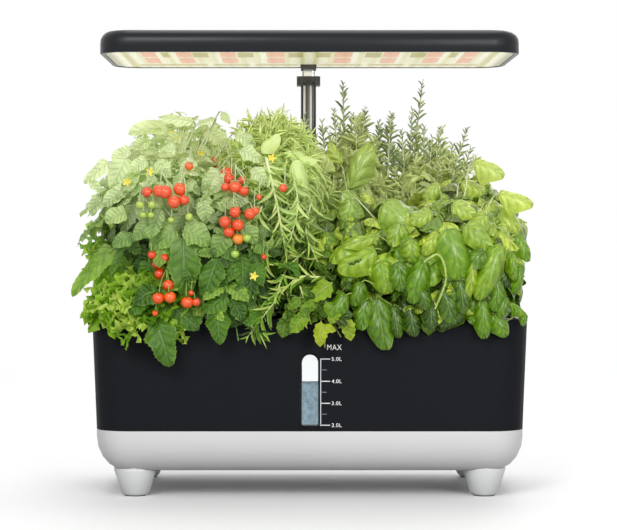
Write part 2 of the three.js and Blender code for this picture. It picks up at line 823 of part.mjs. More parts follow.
function pumpBody() {
  const body = block(pumpAcross, pumpBack, pumpFloor, pumpFloor + pumpHeight, pumpLength, pumpBreadth,
    pumpCornerRadius);
  const chamber = rodAcross(pumpBack, chamberHeight, pumpLeft - overrun, pumpLeft + chamberDepth,
    chamberRadius);
  const outlet = rod(pumpLeft + chamberDepth / 2, pumpBack, chamberHeight, pumpFloor + pumpHeight + overrun,
    outletBore, outletBore, smallSides);
  const shaft = rodAcross(pumpBack, chamberHeight, pumpLeft + fitGap, pumpLeft + chamberDepth + fitGap,
    impellerShaftRadius, smallSides);
  return body.subtract(chamber).subtract(outlet).add(shaft);
}
place('pump_body', 'blackMatte', pumpBody());

function impeller() {
  const x0 = pumpLeft + (chamberDepth - impellerWidth) / 2;
  const x1 = x0 + impellerWidth;
  let wheel = rodAcross(pumpBack, chamberHeight, x0, x1, impellerHub, smallSides);
  for (let blade = 0; blade < impellerBlades; blade++) {
    const geometry = new THREE.BoxGeometry(impellerWidth, impellerBlade, impellerRadius - impellerShaftRadius);
    geometry.translate((x0 + x1) / 2, 0, (impellerRadius + impellerShaftRadius) / 2);
    geometry.rotateX((blade / impellerBlades) * 2 * Math.PI);
    geometry.translate(0, pumpBack, chamberHeight);
    wheel = wheel.add(solidOf(geometry));
  }
  return wheel.subtract(rodAcross(pumpBack, chamberHeight, x0 - overrun, x1 + overrun,
    impellerShaftRadius + fitGap, smallSides));
}
place('pump_impeller', 'white', impeller());

function intakeCover() {
  const right = pumpLeft - fitGap;
  const left = right - intakeCoverDepth;
  const centre = (left + right) / 2;
  const cover = block(centre, pumpBack, pumpFloor, pumpFloor + pumpHeight, intakeCoverDepth,
    pumpBreadth, intakeWall);
  const hollow = box(left + intakeWall, right + overrun, pumpBack - pumpBreadth / 2 + intakeWall,
    pumpBack + pumpBreadth / 2 - intakeWall, pumpFloor + intakeWall, pumpFloor + pumpHeight - intakeWall);
  let body = cover.subtract(hollow);
  const pitch = (pumpBreadth - 2 * intakeWall) / intakeSlots;
  for (let slot = 0; slot < intakeSlots; slot++) {
    const y = pumpBack + (slot - (intakeSlots - 1) / 2) * pitch;
    body = body.subtract(box(left - overrun, left + intakeWall + overrun / 2, y - intakeSlotWidth / 2,
      y + intakeSlotWidth / 2, pumpFloor + 2 * intakeWall, pumpFloor + pumpHeight - 2 * intakeWall));
  }
  return body;
}
place('pump_intake_cover', 'blackMatte', intakeCover());

function pumpOutlet() {
  const x = pumpLeft + chamberDepth / 2;
  const bottom = pumpFloor + pumpHeight + fitGap;
  const flange = rod(x, pumpBack, bottom, bottom + intakeWall, outletFlangeRadius, outletFlangeRadius, smallSides);
  const spout = rod(x, pumpBack, bottom, bottom + outletHeight, outletRadius, outletRadius, smallSides);
  return flange.add(spout).subtract(rod(x, pumpBack, bottom - overrun, bottom + outletHeight + overrun,
    outletBore, outletBore, smallSides));
}
place('pump_outlet', 'blackMatte', pumpOutlet());

// Plants. Each crown's centre and half-sizes are shares of half the rim's width, half its depth
// and the height of the foliage. Rooms keep neighbours apart.
const foliageSpan = [rimWidth / 2, rimDepth / 2, crownTop];
const inSpan = (shares) => shares.map((share, axis) => share * foliageSpan[axis]);
const roomGap = foliageClearance;
const columnSplit = podPitchAcross;
const frontSplit = -podPitchDeep / 2 + podRowShift;
const rearSplit = podPitchDeep / 2 + podRowShift;
const postRoom = collarSide / 2 + 2 * foliageClearance;

const plants = [
  {
    name: 'lettuce', finish: 'lettuce', pod: 0, centreShares: [-0.749, -0.758, 0.425],
    reachShares: [0.316, 0.463, 0.108], lobes: 9,
    rooms: [[-foliageLeft, lettuceRight, -foliageFront, frontSplit, lowFoliage, lettuceTop]],
  },
  {
    name: 'tomato_front', finish: 'tomato', pod: 1, centreShares: [-0.363, -0.695, 0.527],
    reachShares: [0.292, 0.547, 0.228], lobes: 5,
    rooms: [[lettuceRight, mintLeft, -foliageFront, frontSplit, lowFoliage, frontTop]],
  },
  {
    name: 'mint', finish: 'mint', pod: 2, centreShares: [0.058, -0.779, 0.443],
    reachShares: [0.246, 0.442, 0.108], lobes: 7,
    rooms: [[mintLeft, mintRight, -foliageFront, frontSplit, lowFoliage, mintTop]],
  },
  {
    name: 'basil_front', finish: 'basil', pod: 3, centreShares: [0.608, -0.674, 0.515],
    reachShares: [0.386, 0.526, 0.186], lobes: 6,
    rooms: [[mintRight, foliageRight, -foliageFront, frontSplit, lowFoliage, frontTop]],
  },
  {
    name: 'tomato_left', finish: 'tomato', pod: 4, centreShares: [-0.678, -0.316, 0.653],
    reachShares: [0.398, 0.779, 0.174], lobes: 5,
    rooms: [[-foliageLeft, -columnSplit, frontSplit, rearSplit, lowFoliage, crownTop],
      [-foliageLeft, lettuceRight, -foliageFront, frontSplit + roomGap, lettuceTop, crownTop]],
  },
  {
    name: 'savory', finish: 'herb', pod: 5, centreShares: [-0.175, -0.253, 0.665],
    reachShares: [0.269, 0.821, 0.234], lobes: 8,
    rooms: [[-columnSplit, herbRight, frontSplit, rearSplit, lowFoliage, crownTop],
      [mintLeft, herbRight, -foliageFront, frontSplit + roomGap, mintTop, crownTop]],
  },
  {
    name: 'basil_middle', finish: 'basil', pod: 6, centreShares: [0.246, -0.295, 0.569],
    reachShares: [0.292, 0.737, 0.138], lobes: 6,
    rooms: [[herbRight, columnSplit + basilLean, frontSplit, rearSplit, lowFoliage, crownTop],
      [herbRight, mintRight, -foliageFront, frontSplit + roomGap, mintTop, crownTop]],
  },
  {
    name: 'basil_right', finish: 'basil', pod: 7, centreShares: [0.737, -0.042, 0.605],
    reachShares: [0.281, 0.568, 0.156], lobes: 6,
    rooms: [[columnSplit + basilLean, foliageRight, frontSplit, rearSplit, lowFoliage, crownTop]],
  },
  {
    name: 'tomato_rear', finish: 'tomato', pod: 8, centreShares: [-0.620, 0.674, 0.677],
    reachShares: [0.386, 0.547, 0.234], lobes: 5,
    rooms: [[-foliageLeft, -columnSplit, rearSplit, foliageFront, lowFoliage, crownTop]],
  },
  {
    name: 'rosemary_left', finish: 'rosemary', pod: 9, centreShares: [-0.234, 0.653, 0.665],
    reachShares: [0.234, 0.526, 0.222], lobes: 7, sprigs: [[-0.257, 0.611, 0.922]],
    rooms: [[-columnSplit, -postRoom, rearSplit, foliageFront, lowFoliage, crownTop]],
  },
  {
    name: 'rosemary_centre', finish: 'rosemary', pod: 10, centreShares: [0.222, 0.611, 0.671],
    reachShares: [0.234, 0.484, 0.228], lobes: 7,
    sprigs: [[0.171, 0.611, 0.985], [0.281, 0.611, 0.928]],
    rooms: [[postRoom, columnSplit, rearSplit, foliageFront, lowFoliage, crownTop]],
  },
  {
    name: 'rosemary_right', finish: 'rosemary', pod: 11, centreShares: [0.608, 0.611, 0.647],
    reachShares: [0.269, 0.463, 0.210], lobes: 7,
    sprigs: [[0.451, 0.611, 0.913], [0.563, 0.611, 0.985], [0.781, 0.611, 0.874]],
    rooms: [[columnSplit, foliageRight, rearSplit, foliageFront, lowFoliage, crownTop]],
  },
];

const crownSides = 12;
const crownRings = 6;
const lobeDepthShare = 0.13;
const stalkEndShare = 0.3;

// A lumpy ball: lobes run round it and rise and fall over its height
function crown(centre, reach, lobes) {
  const geometry = new THREE.SphereGeometry(1, crownSides, crownRings);
  const points = geometry.attributes.position;
  for (let i = 0; i < points.count; i++) {
    const around = Math.atan2(points.getZ(i), points.getX(i));
    const up = Math.asin(Math.max(-1, Math.min(1, points.getY(i))));
    const flat = Math.cos(up);
    const swell = 1 - lobeDepthShare * (1 - Math.cos(lobes * around) * Math.cos(3 * up)) * flat;
    points.setXYZ(i, points.getX(i) * swell, points.getY(i) * swell, points.getZ(i) * swell);
  }
  geometry.scale(reach[0], reach[2], reach[1]);
  geometry.rotateX(Math.PI / 2);
  geometry.translate(...centre);
  return solidOf(geometry);
}

// What foliage keeps clear of: the tank and deck, and the space in which the fill flap swings
function foliageKeepOut() {
  const grow = -foliageClearance;
  const tankRoom = loft([
    tankSection(lowFoliage - overrun, grow),
    tankSection(seatTop + fitGap + basketFlangeThickness + foliageClearance, grow),
  ]);
  const sweep = box(portCentre - portWidth / 2 - flapOverlap - flapSweepMargin, rimWidth,
    -flapDepth / 2 - flapSweepMargin, flapDepth / 2 + flapSweepMargin, deckTop, deckTop + flapSweepHeight);
  return tankRoom.add(sweep);
}
const keepOut = foliageKeepOut();

function stalk(x, y, centre, reach) {
  const start = new THREE.Vector3(x, y, seatTop - stemRadius);
  const bend = new THREE.Vector3(x, y, seatTop + 4 * stemRadius);
  const end = new THREE.Vector3(centre[0], centre[1], centre[2] + stalkEndShare * reach[2]);
  const sides = [];
  for (let side = 0; side < 6; side++) {
    const angle = (side / 6) * 2 * Math.PI;
    sides.push(new THREE.Vector2(stemRadius * Math.cos(angle), stemRadius * Math.sin(angle)));
  }
  const geometry = new THREE.ExtrudeGeometry(new THREE.Shape(sides), {
    steps: 4,
    bevelEnabled: false,
    extrudePath: new THREE.QuadraticBezierCurve3(start, bend, end),
  });
  return solidOf(geometry);
}

function room([x0, x1, y0, y1, z0, z1]) {
  const half = roomGap / 2;
  return box(x0 + half, x1 - half, y0 + half, y1 - half, z0 + half, z1 - half);
}

// A tall sprig that tapers out of the crown to its tip
function sprig([x, y, top], foot) {
  return rod(x, y, foot, top, sprigRadius, sprigTipRadius, sprigSides);
}

function plant({ pod, centreShares, reachShares, lobes, rooms, sprigs = [] }) {
  const centre = inSpan(centreShares);
  const reach = inSpan(reachShares);
  const [x, y] = podPlaces()[pod];
  const spongeTop = seatTop;
  const sponge = rod(x, y, spongeTop - spongeDepth, spongeTop, spongeSoleRadius, spongeTopRadius,
    basketSides);
  const space = rooms.map(room).reduce((all, one) => all.add(one));
  const tall = sprigs.map((shares) => sprig(inSpan(shares), centre[2]));
  const grown = tall.reduce((all, one) => all.add(one), crown(centre, reach, lobes));
  const foliage = grown.intersect(space).subtract(keepOut);
  return foliage.add(stalk(x, y, centre, reach)).add(sponge);
}

podPlaces().forEach(([x, y], index) => place(`net_basket_${index + 1}`, 'blackMatte', basket(x, y)));
for (const spec of plants) place(`plant_${spec.name}`, spec.finish, plant(spec));

export default garden;
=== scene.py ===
"""Countertop water garden: tank on four feet, light panel on a post, and twelve grown plants.

Metres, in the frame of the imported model: +X right along the tank, +Y to the back, +Z up.
"""
import json
import math
import random

import bmesh
import bpy
from mathutils import Matrix, Vector
from mathutils.geometry import interpolate_bezier


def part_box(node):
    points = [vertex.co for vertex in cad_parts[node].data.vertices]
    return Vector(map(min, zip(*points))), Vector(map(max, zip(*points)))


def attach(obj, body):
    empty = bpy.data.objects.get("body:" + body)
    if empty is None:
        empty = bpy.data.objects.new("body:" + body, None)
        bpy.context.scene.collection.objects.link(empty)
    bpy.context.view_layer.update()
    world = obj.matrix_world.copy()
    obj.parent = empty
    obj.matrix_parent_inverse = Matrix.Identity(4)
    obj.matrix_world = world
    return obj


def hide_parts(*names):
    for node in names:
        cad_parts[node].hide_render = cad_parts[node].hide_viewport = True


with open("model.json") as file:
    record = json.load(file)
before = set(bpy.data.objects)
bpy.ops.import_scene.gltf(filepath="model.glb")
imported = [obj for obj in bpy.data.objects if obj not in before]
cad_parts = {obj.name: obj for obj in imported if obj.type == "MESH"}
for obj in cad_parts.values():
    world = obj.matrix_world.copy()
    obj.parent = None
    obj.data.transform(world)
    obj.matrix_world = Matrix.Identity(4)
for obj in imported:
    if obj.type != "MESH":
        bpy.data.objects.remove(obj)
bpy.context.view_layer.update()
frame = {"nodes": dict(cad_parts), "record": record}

# Camera, from the perspective of the tank's rim and the panel's corners
PHOTO_WIDTH = 617.0
PHOTO_HEIGHT = 530.0
FOCAL_PIXELS = 2035.0
AIM_ACROSS = 293.2
AIM_DOWN = 235.0
SENSOR = 36.0
FAR_CLIP = 30.0
EYE = Vector((-0.013, -1.668, 0.2053))

# Sizes of the hardware that the new pieces meet
MM = 0.001
RIM_HALF_WIDTH = 0.171
RIM_HALF_DEPTH = 0.095
RIM_HEIGHT = 0.140
WALL_LEAN = 3.25 / 86.9
SEAT_TOP = 0.1404
POST_BACK = 0.066
POD_ACROSS = 0.070
POD_DEEP = 0.0505
POD_SHIFT = -0.0015
FOLIAGE_TOP = 0.340
WATER_LEVEL = 0.0921
TAU = 2 * math.pi
TINY = 1e-9
MIDDLE_TONE = 0.5
GOLDEN = math.radians(137.508)
UP = Vector((0, 0, 1))
TO_EYE = Vector((0, -1, 0))


# Shader helpers
def tint(code):
    """Linear colour of a hex code."""
    parts = [int(code[i:i + 2], 16) / 255 for i in (1, 3, 5)]
    return tuple(p / 12.92 if p <= 0.04045 else ((p + 0.055) / 1.055) ** 2.4 for p in parts) + (1.0,)


class Wire:
    """A node's output; sums and products of wires add Math nodes."""

    def __init__(self, nodes, socket):
        self.nodes = nodes
        self.socket = socket

    def work(self, operation, *values):
        return self.nodes.node("ShaderNodeMath", {"operation": operation}, dict(enumerate(values)))

    def __add__(self, other):
        return self.work("ADD", self, other)

    def __sub__(self, other):
        return self.work("SUBTRACT", self, other)

    def __rsub__(self, other):
        return self.work("SUBTRACT", other, self)

    def __mul__(self, other):
        return self.work("MULTIPLY", self, other)

    def __truediv__(self, other):
        return self.work("DIVIDE", self, other)

    def __mod__(self, other):
        return self.work("FLOORED_MODULO", self, other)

    def __abs__(self):
        return self.work("ABSOLUTE", self)

    def __lt__(self, other):
        return self.work("LESS_THAN", self, other)

    def __gt__(self, other):
        return self.work("GREATER_THAN", self, other)

    __radd__ = __add__
    __rmul__ = __mul__

    def rise(self, low, high):
        """0 below low, 1 above high, smooth between."""
        return self.nodes.node("ShaderNodeMapRange", {"interpolation_type": "SMOOTHSTEP"},
                               {"Value": self, "From Min": low, "From Max": high})

    def fall(self, low, high):
        return 1 - self.rise(low, high)

    def off_middle(self):
        """Distance to the middle of the cell that it lies in, in cells one wide."""
        return abs(self % 1.0 - 0.5)


class Nodes:
    """Adds nodes to one tree."""

    def __init__(self, tree):
        self.tree = tree

    def feed(self, socket, value):
        """Links a wire to a socket, or sets the socket to a value or a hex code's colour."""
        if isinstance(value, Wire):
            self.tree.links.new(value.socket, socket)
        else:
            socket.default_value = tint(value) if isinstance(value, str) else value

    def node(self, kind, settings=None, values=None, out=0):
        """An output of a new node, whose settings are set before its sockets."""
        made = self.tree.nodes.new(kind)
        for name, value in (settings or {}).items():
            if name == "stops":
                stops = made.color_ramp.elements
                while len(stops) < len(value):
                    stops.new(1.0)
                for stop, (at, colour) in zip(stops, value):
                    stop.position = at
                    stop.color = tint(colour)
            else:
                setattr(made, name, value)
        for key, value in (values or {}).items():
            self.feed(made.inputs[key], value)
        return Wire(self, made.outputs[out])

    def place(self, kind="Object"):
        """Where a point lies, as one vector."""
        return self.node("ShaderNodeTexCoord", out=kind)

    def parts(self, vector):
        return [self.node("ShaderNodeSeparateXYZ", values={0: vector}, out=axis) for axis in "XYZ"]

    def watched(self):
        """1 for what is seen directly, in gloss or through glass, and 0 for light on its way."""
        paths = self.node("ShaderNodeLightPath").socket.node.outputs
        camera_ray, through_glass, in_gloss = [
            Wire(self, paths[name]) for name in ("Is Camera Ray", "Is Transmission Ray", "Is Glossy Ray")]
        return camera_ray.work("MAXIMUM", camera_ray.work("MAXIMUM", camera_ray, through_glass), in_gloss)


class Finish(Nodes):
    """A material round one Principled shader."""

    def __init__(self, name, colour="#808080", roughness=0.5, **sockets):
        self.material = bpy.data.materials.new(name)
        self.material.use_nodes = True
        super().__init__(self.material.node_tree)
        self.tree.nodes.clear()
        self.surface = self.tree.nodes.new("ShaderNodeBsdfPrincipled")
        self.out = self.tree.nodes.new("ShaderNodeOutputMaterial")
        self.tree.links.new(self.surface.outputs[0], self.out.inputs["Surface"])
        self.set("Base Color", tint(colour))
        self.set("Roughness", roughness)
        for name, value in sockets.items():
            self.set(name.replace("_", " "), value)

    def set(self, name, value):
        self.feed(self.surface.inputs[name], value)

    def xyz(self):
        """Where a point lies on the piece, in metres."""
        return self.parts(self.place())

    def uv(self):
        """Place along and across a leaf, as shares."""
        return self.parts(self.node("ShaderNodeUVMap", {"uv_map": "UVMap"}))[:2]

    def tone(self):
        """Shade that each leaf or fruit was given, 0 dark or unripe and 1 light or ripe."""
        return self.node("ShaderNodeAttribute", {"attribute_name": "tone"}, out="Fac")

    def noise(self, scale, detail=2.0):
        return self.node("ShaderNodeTexNoise", None,
                         {"Vector": self.place(), "Scale": scale, "Detail": detail}, out="Fac")

    def mix(self, factor, first, second):
        return self.node("ShaderNodeMix", {"data_type": "RGBA"}, {0: factor, 6: first, 7: second}, out=2)

    def layered(self, colour, *layers):
        """Covers a colour with layers, each of a mask and its colour."""
        for mask, over in layers:
            colour = self.mix(mask, colour, over)
        return colour

    def uneven(self, least, most, grain):
        """Roughness that goes from one value to another with the grain."""
        self.set("Roughness", least + (most - least) * grain)

    def ramp(self, value, stops):
        return self.node("ShaderNodeValToRGB", {"stops": stops}, {"Fac": value}, out="Color")

    def bump(self, height, distance, strength=1.0):
        self.set("Normal", self.node("ShaderNodeBump", None,
                                     {"Height": height, "Distance": distance, "Strength": strength}))

    def blend(self, factor, shader):
        """Mixes another shader into the surface."""
        mixed = self.node("ShaderNodeMixShader", None,
                          {0: factor, 1: Wire(self, self.surface.outputs[0]), 2: shader})
        self.tree.links.new(mixed.socket, self.out.inputs["Surface"])


# Camera, floor and light
def camera():
    """The photograph's camera, level and shifted onto the object."""
    lens = bpy.data.cameras.new("camera")
    lens.sensor_fit = "HORIZONTAL"
    lens.sensor_width = SENSOR
    lens.lens = FOCAL_PIXELS / PHOTO_WIDTH * SENSOR
    lens.shift_x = (PHOTO_WIDTH / 2 - AIM_ACROSS) / PHOTO_WIDTH
    lens.shift_y = (AIM_DOWN - PHOTO_HEIGHT / 2) / PHOTO_WIDTH
    lens.clip_end = FAR_CLIP
    eye = bpy.data.objects.new("camera", lens)
    eye.location = EYE
    eye.rotation_euler = (math.radians(90), 0, 0)
    bpy.context.scene.collection.objects.link(eye)
    bpy.context.scene.camera = eye


def softbox(name, at, aim, size, power):
    """A square area lamp that points at a spot."""
    light = bpy.data.lights.new(name, "AREA")
    light.size = size
    light.energy = power
    lamp = bpy.data.objects.new(name, light)
    lamp.location = at
    lamp.rotation_euler = (Vector(aim) - Vector(at)).to_track_quat("-Z", "Y").to_euler()
    bpy.context.scene.collection.objects.link(lamp)


# Area lamps: name, place, aim, side in metres, watts
SOFTBOXES = (
    ("key", (-0.9, -1.75, 1.1), (0, 0, 0.22), 1.2, 10),
    ("spark", (-0.45, -1.6, 1.05), (0, 0, 0.22), 0.5, 8),
    ("fill", (1.3, -1.5, 0.75), (0, 0, 0.22), 1.2, 5),
    ("top", (0.1, 0.4, 1.9), (0, 0, 0.2), 1.2, 12),
    ("rear", (0.3, 1.7, 0.95), (0, 0, 0.25), 1.2, 10),
    ("panel_card", (0.75, -1.8, 0.56), (0.1, 0, 0.36), 0.7, 12),
)
# Sky brightness, and its share at both sides and behind the object
SKY_LEVEL = 0.52
SIDE_SHARE = 0.25
SIDE_FADE = (0.5, 0.95)
REAR_SHARE = 1.5
REAR_FADE = (0.1, 0.9)
FLOOR_SEEN = "#f7f7f7"
FLOOR_BOUNCE = "#9a9a9a"
FLOOR_RADIUS = 2.4
FLOOR_FADE = (0.55, 1.7)


def sky():
    """A pale surround, darker to both sides; what looks straight at it sees white."""
    world = bpy.data.worlds.new("studio")
    bpy.context.scene.world = world
    world.use_nodes = True
    nodes = Nodes(world.node_tree)
    across, deep, _ = nodes.parts(nodes.place("Generated"))
    side = 1 - (1 - SIDE_SHARE) * abs(across).rise(*SIDE_FADE)
    rear = 1 + (REAR_SHARE - 1) * deep.rise(*REAR_FADE)
    level = nodes.node("ShaderNodeMix", {"data_type": "FLOAT"},
                       {0: nodes.watched(), 2: side * rear * SKY_LEVEL, 3: 1.0})
    background = world.node_tree.nodes["Background"].inputs
    nodes.feed(background["Strength"], level)
    nodes.feed(background["Color"], "#ffffff")


def studio_floor():
    """A pale floor that fades out, and gives back less light than it shows."""
    finish = Finish("studio_floor", FLOOR_SEEN, 0.7)
    finish.set("Specular IOR Level", 0.1)
    finish.set("Base Color", finish.mix(finish.watched(), FLOOR_BOUNCE, FLOOR_SEEN))
    away = finish.node("ShaderNodeVectorMath", {"operation": "LENGTH"}, {0: finish.place()}, out="Value")
    finish.blend(away.rise(*FLOOR_FADE), finish.node("ShaderNodeBsdfTransparent"))
    mesh = bmesh.new()
    bmesh.ops.create_circle(mesh, cap_ends=True, radius=FLOOR_RADIUS, segments=64)
    floor = piece_of("studio_floor", mesh, [finish])


def lamps():
    """Every softbox of the table."""
    for name, *values in SOFTBOXES:
        softbox(name, *values)


# Mesh helpers
def piece_of(name, mesh, finishes, smooth=True):
    """A new object from a bmesh, which it frees."""
    data = bpy.data.meshes.new(name)
    mesh.to_mesh(data)
    mesh.free()
    for finish in finishes:
        data.materials.append(finish.material)
    data.polygons.foreach_set("use_smooth", [smooth] * len(data.polygons))
    made = bpy.data.objects.new(name, data)
    bpy.context.scene.collection.objects.link(made)
    return made


def bar(mesh, low, high, bevel=0.0):
    """A box between two corners, added to a bmesh."""
    low, high = Vector(low), Vector(high)
    made = bmesh.ops.create_cube(mesh, size=1, matrix=Matrix.Translation((low + high) / 2)
                                 @ Matrix.Diagonal((*(high - low), 1)))
    if bevel:
        edges = {edge for vert in made["verts"] for edge in vert.link_edges}
        bmesh.ops.bevel(mesh, geom=list(edges), offset=bevel, offset_type="OFFSET", affect="EDGES",
                        segments=2, profile=0.5, material=-1)
    return made["verts"]


def pixel_size(deep):
    """What one pixel of the photograph spans at this depth, in metres."""
    return (deep - EYE.y) / FOCAL_PIXELS


def photo(across, down, deep):
    """The point at this depth that the camera sees at this pixel of the photograph."""
    reach = pixel_size(deep)
    return Vector((EYE.x + (across - AIM_ACROSS) * reach, deep, EYE.z - (down - AIM_DOWN) * reach))


# Hardware finishes
def moulded(name, colour, roughness, grain=0.02, **sockets):
    """Moulded plastic: a fine grain and a slightly uneven gloss."""
    finish = Finish(name, colour, roughness, **sockets)
    fine = finish.noise(2600, 2)
    broad = finish.noise(14, 2)
    shade = finish.ramp(broad * 0.5 + fine * 0.5, [(0.2, "#f2f2f2"), (0.8, "#ffffff")])
    finish.set("Base Color", finish.node("ShaderNodeMix", {"data_type": "RGBA", "blend_type": "MULTIPLY"},
                                         {0: 1.0, 6: colour, 7: shade}, out=2))
    finish.set("Roughness", roughness + (broad - 0.5) * 0.06 + (fine - 0.5) * 0.04)
    finish.bump(fine, grain * MM, 0.6)
    return finish


def polished(name, colour, roughness):
    """Bright metal with a faint unevenness."""
    finish = Finish(name, colour, roughness, Metallic=1.0)
    finish.uneven(roughness - 0.04, roughness + 0.04, finish.noise(900, 3))
    return finish


# Where the painted dark reflection on the rail's rounded edge starts and ends, off its middle
RAIL_PAINTED_DARK_EDGE = (0.0041, 0.0045)


def rail_finish():
    """Bright rail with a painted dark reflection on its rounded edges."""
    finish = polished("post_rail", "#fbfbfb", 0.16)
    across = finish.xyz()[0]
    finish.set("Base Color", finish.mix(abs(across).rise(*RAIL_PAINTED_DARK_EDGE), "#f6f6f7", "#26272a"))
    return finish


# Across the post's front: two painted highlight stripes, the painted sheen that grows between them, and where
# its painted lighter right side starts
LEFT_PAINTED_HIGHLIGHT = (-0.0044, -0.0026)
RIGHT_PAINTED_HIGHLIGHT = (0.0012, 0.0028)
POST_PAINTED_SHEEN = (-0.003, 0.002)
POST_PAINTED_SIDE = 0.0062


def post_finish():
    """Black anodised tube with two painted highlight stripes on its faces, a painted sheen between them and a
    painted lighter right side.
    """
    finish = Finish("post_tube", "#1b1b1d", 0.22)
    across = finish.xyz()[0]

    def within(low, high):
        return (across > low) * (across < high)

    finish.set("Base Color", finish.layered(
        "#131315",
        (within(LEFT_PAINTED_HIGHLIGHT[1], RIGHT_PAINTED_HIGHLIGHT[0]) * across.rise(*POST_PAINTED_SHEEN), "#8f8c98"),
        (within(*LEFT_PAINTED_HIGHLIGHT) + within(*RIGHT_PAINTED_HIGHLIGHT), "#f4f4f4"),
        (across > POST_PAINTED_SIDE, "#2c2c30")))
    finish.uneven(0.25, 0.35, finish.noise(700))
    return finish


# Light cells under the panel: where each row starts and ends, from front to back
LED_ROWS = ((-0.070, -0.022), (-0.019, 0.034))
AMBER_ROW = (-0.066, -0.020)
REAR_ROW = (0.036, 0.062)
ROW_BLUR = 0.004
# Cells across a row: middle and half width, the same to both sides
PINK_CELLS = ((0.027, 0.0075), (0.065, 0.0065), (0.100, 0.0065), (0.128, 0.0060))
AMBER_CELLS = ((0.011, 0.006), (0.051, 0.0065), (0.087, 0.0065), (0.115, 0.0030))
CELL_BLUR = (0.85, 1.1)
LENS_PITCH = 0.0125
SLOT_PITCH = 0.0118
# Towards the panel's ends: an olive band, a pale margin and a shaded edge
BAND_START = (0.141, 0.145)
BAND_END = (0.147, 0.151)
MARGIN = (0.154, 0.158)
SHADED_EDGE = (0.150, 0.162)
GLOW = 0.46


def diffuser_finish():
    """Frosted sheet with rows of white, pink and amber cells glowing through it."""
    finish = Finish("light_diffuser", "#f6f0d2", 0.35)
    across, deep, _ = finish.xyz()
    side = abs(across)

    def cells(table, grow=1.0):
        masks = [abs(side - middle).fall(*(half * grow * edge for edge in CELL_BLUR))
                 for middle, half in table]
        return sum(masks[1:], masks[0])

    def row(low, high):
        return deep.rise(low, low + ROW_BLUR) * deep.fall(high - ROW_BLUR, high)

    rows = row(*LED_ROWS[0]) + row(*LED_ROWS[1])
    lens = (deep / LENS_PITCH).off_middle().fall(0.08, 0.2)
    slot = (across / SLOT_PITCH).off_middle().fall(0.1, 0.24)
    glow = finish.layered(
        "#fdfae6",
        (lens * 0.55 + slot * 0.4, "#c9bf78"),
        (cells(AMBER_CELLS, 1.5) * rows * 0.35, "#d6cc86"),
        (cells(PINK_CELLS) * rows * (0.95 - lens * 0.35), "#ea9c76"),
        (cells(AMBER_CELLS) * row(*AMBER_ROW) * 0.95, "#aa9f3c"),
        (cells(PINK_CELLS, 2.5) * row(*REAR_ROW) * 0.85, "#b9ae62"),
        (side.rise(*BAND_START) * side.fall(*BAND_END) * 0.8, "#bdb468"),
        (side.rise(*MARGIN) * 0.5, "#c8c199"),
        (side.rise(*SHADED_EDGE) * 0.6, "#6f6c55"))
    finish.set("Base Color", glow)
    finish.set("Emission Color", glow)
    finish.set("Emission Strength", GLOW)
    return finish


# Cover of the pane: below the water's surface, and how much more above it, where its near-opaque white is
# painted light that stands in for the lit channel behind
PANE_BELOW = 0.06
PANE_PAINTED_LIGHT_ABOVE = 0.86
SURFACE_LINE = (WATER_LEVEL - 0.0001, WATER_LEVEL + 0.0002)


def window_finish():
    """Clear pane below the water; above it near-opaque white, painted light that stands in for the lit
    channel behind.
    """
    finish = Finish("window_pane", "#f7fbfc", 0.12, Specular_IOR_Level=0.2)
    height = finish.xyz()[2]
    finish.set("Alpha", PANE_BELOW + PANE_PAINTED_LIGHT_ABOVE * height.rise(*SURFACE_LINE))
    finish.uneven(0.1, 0.15, finish.noise(200))
    return finish


TRACK_PITCH = (0.002, 0.00625)
LANE_PITCH = (1 / 24, 1 / 60)


def circuit_finish():
    """Green board with dashed tracks of a lighter green."""
    finish = Finish("control_board", "#1f5a3c", 0.5)
    across, deep, _ = finish.xyz()
    tracks = ((across / TRACK_PITCH[0]).off_middle() < 0.12) * ((deep / TRACK_PITCH[1]).off_middle() > 0.2)
    finish.set("Base Color", finish.mix(tracks * 0.6, "#1f5a3c", "#3f8a5e"))
    return finish


def led_board_finish():
    """Pale board with copper lanes both ways."""
    finish = Finish("led_board", "#dfe2e0", 0.4, Metallic=0.3)
    across, deep, _ = finish.xyz()
    lane = ((deep / LANE_PITCH[1]).off_middle() < 0.06) + ((across / LANE_PITCH[0]).off_middle() < 0.02)
    finish.set("Base Color", finish.mix(lane * 0.7, "#e6e8e6", "#b9a36a"))
    return finish


HARDWARE = {
    "base_grey": lambda: moulded("base_shell", "#d8d8d8", 0.42, 0.012),
    "foot_grey": lambda: moulded("foot", "#e0e2e2", 0.45, 0.012),
    "pad_rubber": lambda: moulded("foot_pad", "#38393b", 0.85, 0.05),
    "tank_black": lambda: moulded("tank_wall", "#1e1f23", 0.42, 0.006, Specular_IOR_Level=0.03),
    "seal_rubber": lambda: moulded("window_gasket", "#131416", 0.7, 0.03, Specular_IOR_Level=0.1),
    "window_clear": window_finish,
    "gauge_white": lambda: moulded("gauge_channel", "#e6edef", 0.45, 0.01),
    "deck_black": lambda: moulded("deck", "#1a1b1e", 0.5, 0.02, Specular_IOR_Level=0.15),
    "bright_steel": lambda: polished("hinge_pin", "#d5d6d8", 0.2),
    "post_chrome": post_finish,
    "rail_chrome": rail_finish,
    "collar_black": lambda: moulded("post_collar", "#4a4b4e", 0.5, 0.02),
    "inner_black": lambda: moulded("inner_part", "#1c1d1f", 0.55, 0.02, Specular_IOR_Level=0.15),
    "panel_black": lambda: moulded("panel_housing", "#1a1d21", 0.3, 0.004, Specular_IOR_Level=0.2),
    "led_board_aluminium": led_board_finish,
    "diffuser_frost": diffuser_finish,
    "circuit_green": circuit_finish,
    "button_black": lambda: moulded("button", "#2a2b2e", 0.4, 0.02),
    "impeller_white": lambda: moulded("impeller", "#ececea", 0.4, 0.01),
    "basket_black": lambda: moulded("net_basket", "#161617", 0.55, 0.02, Specular_IOR_Level=0.15),
}


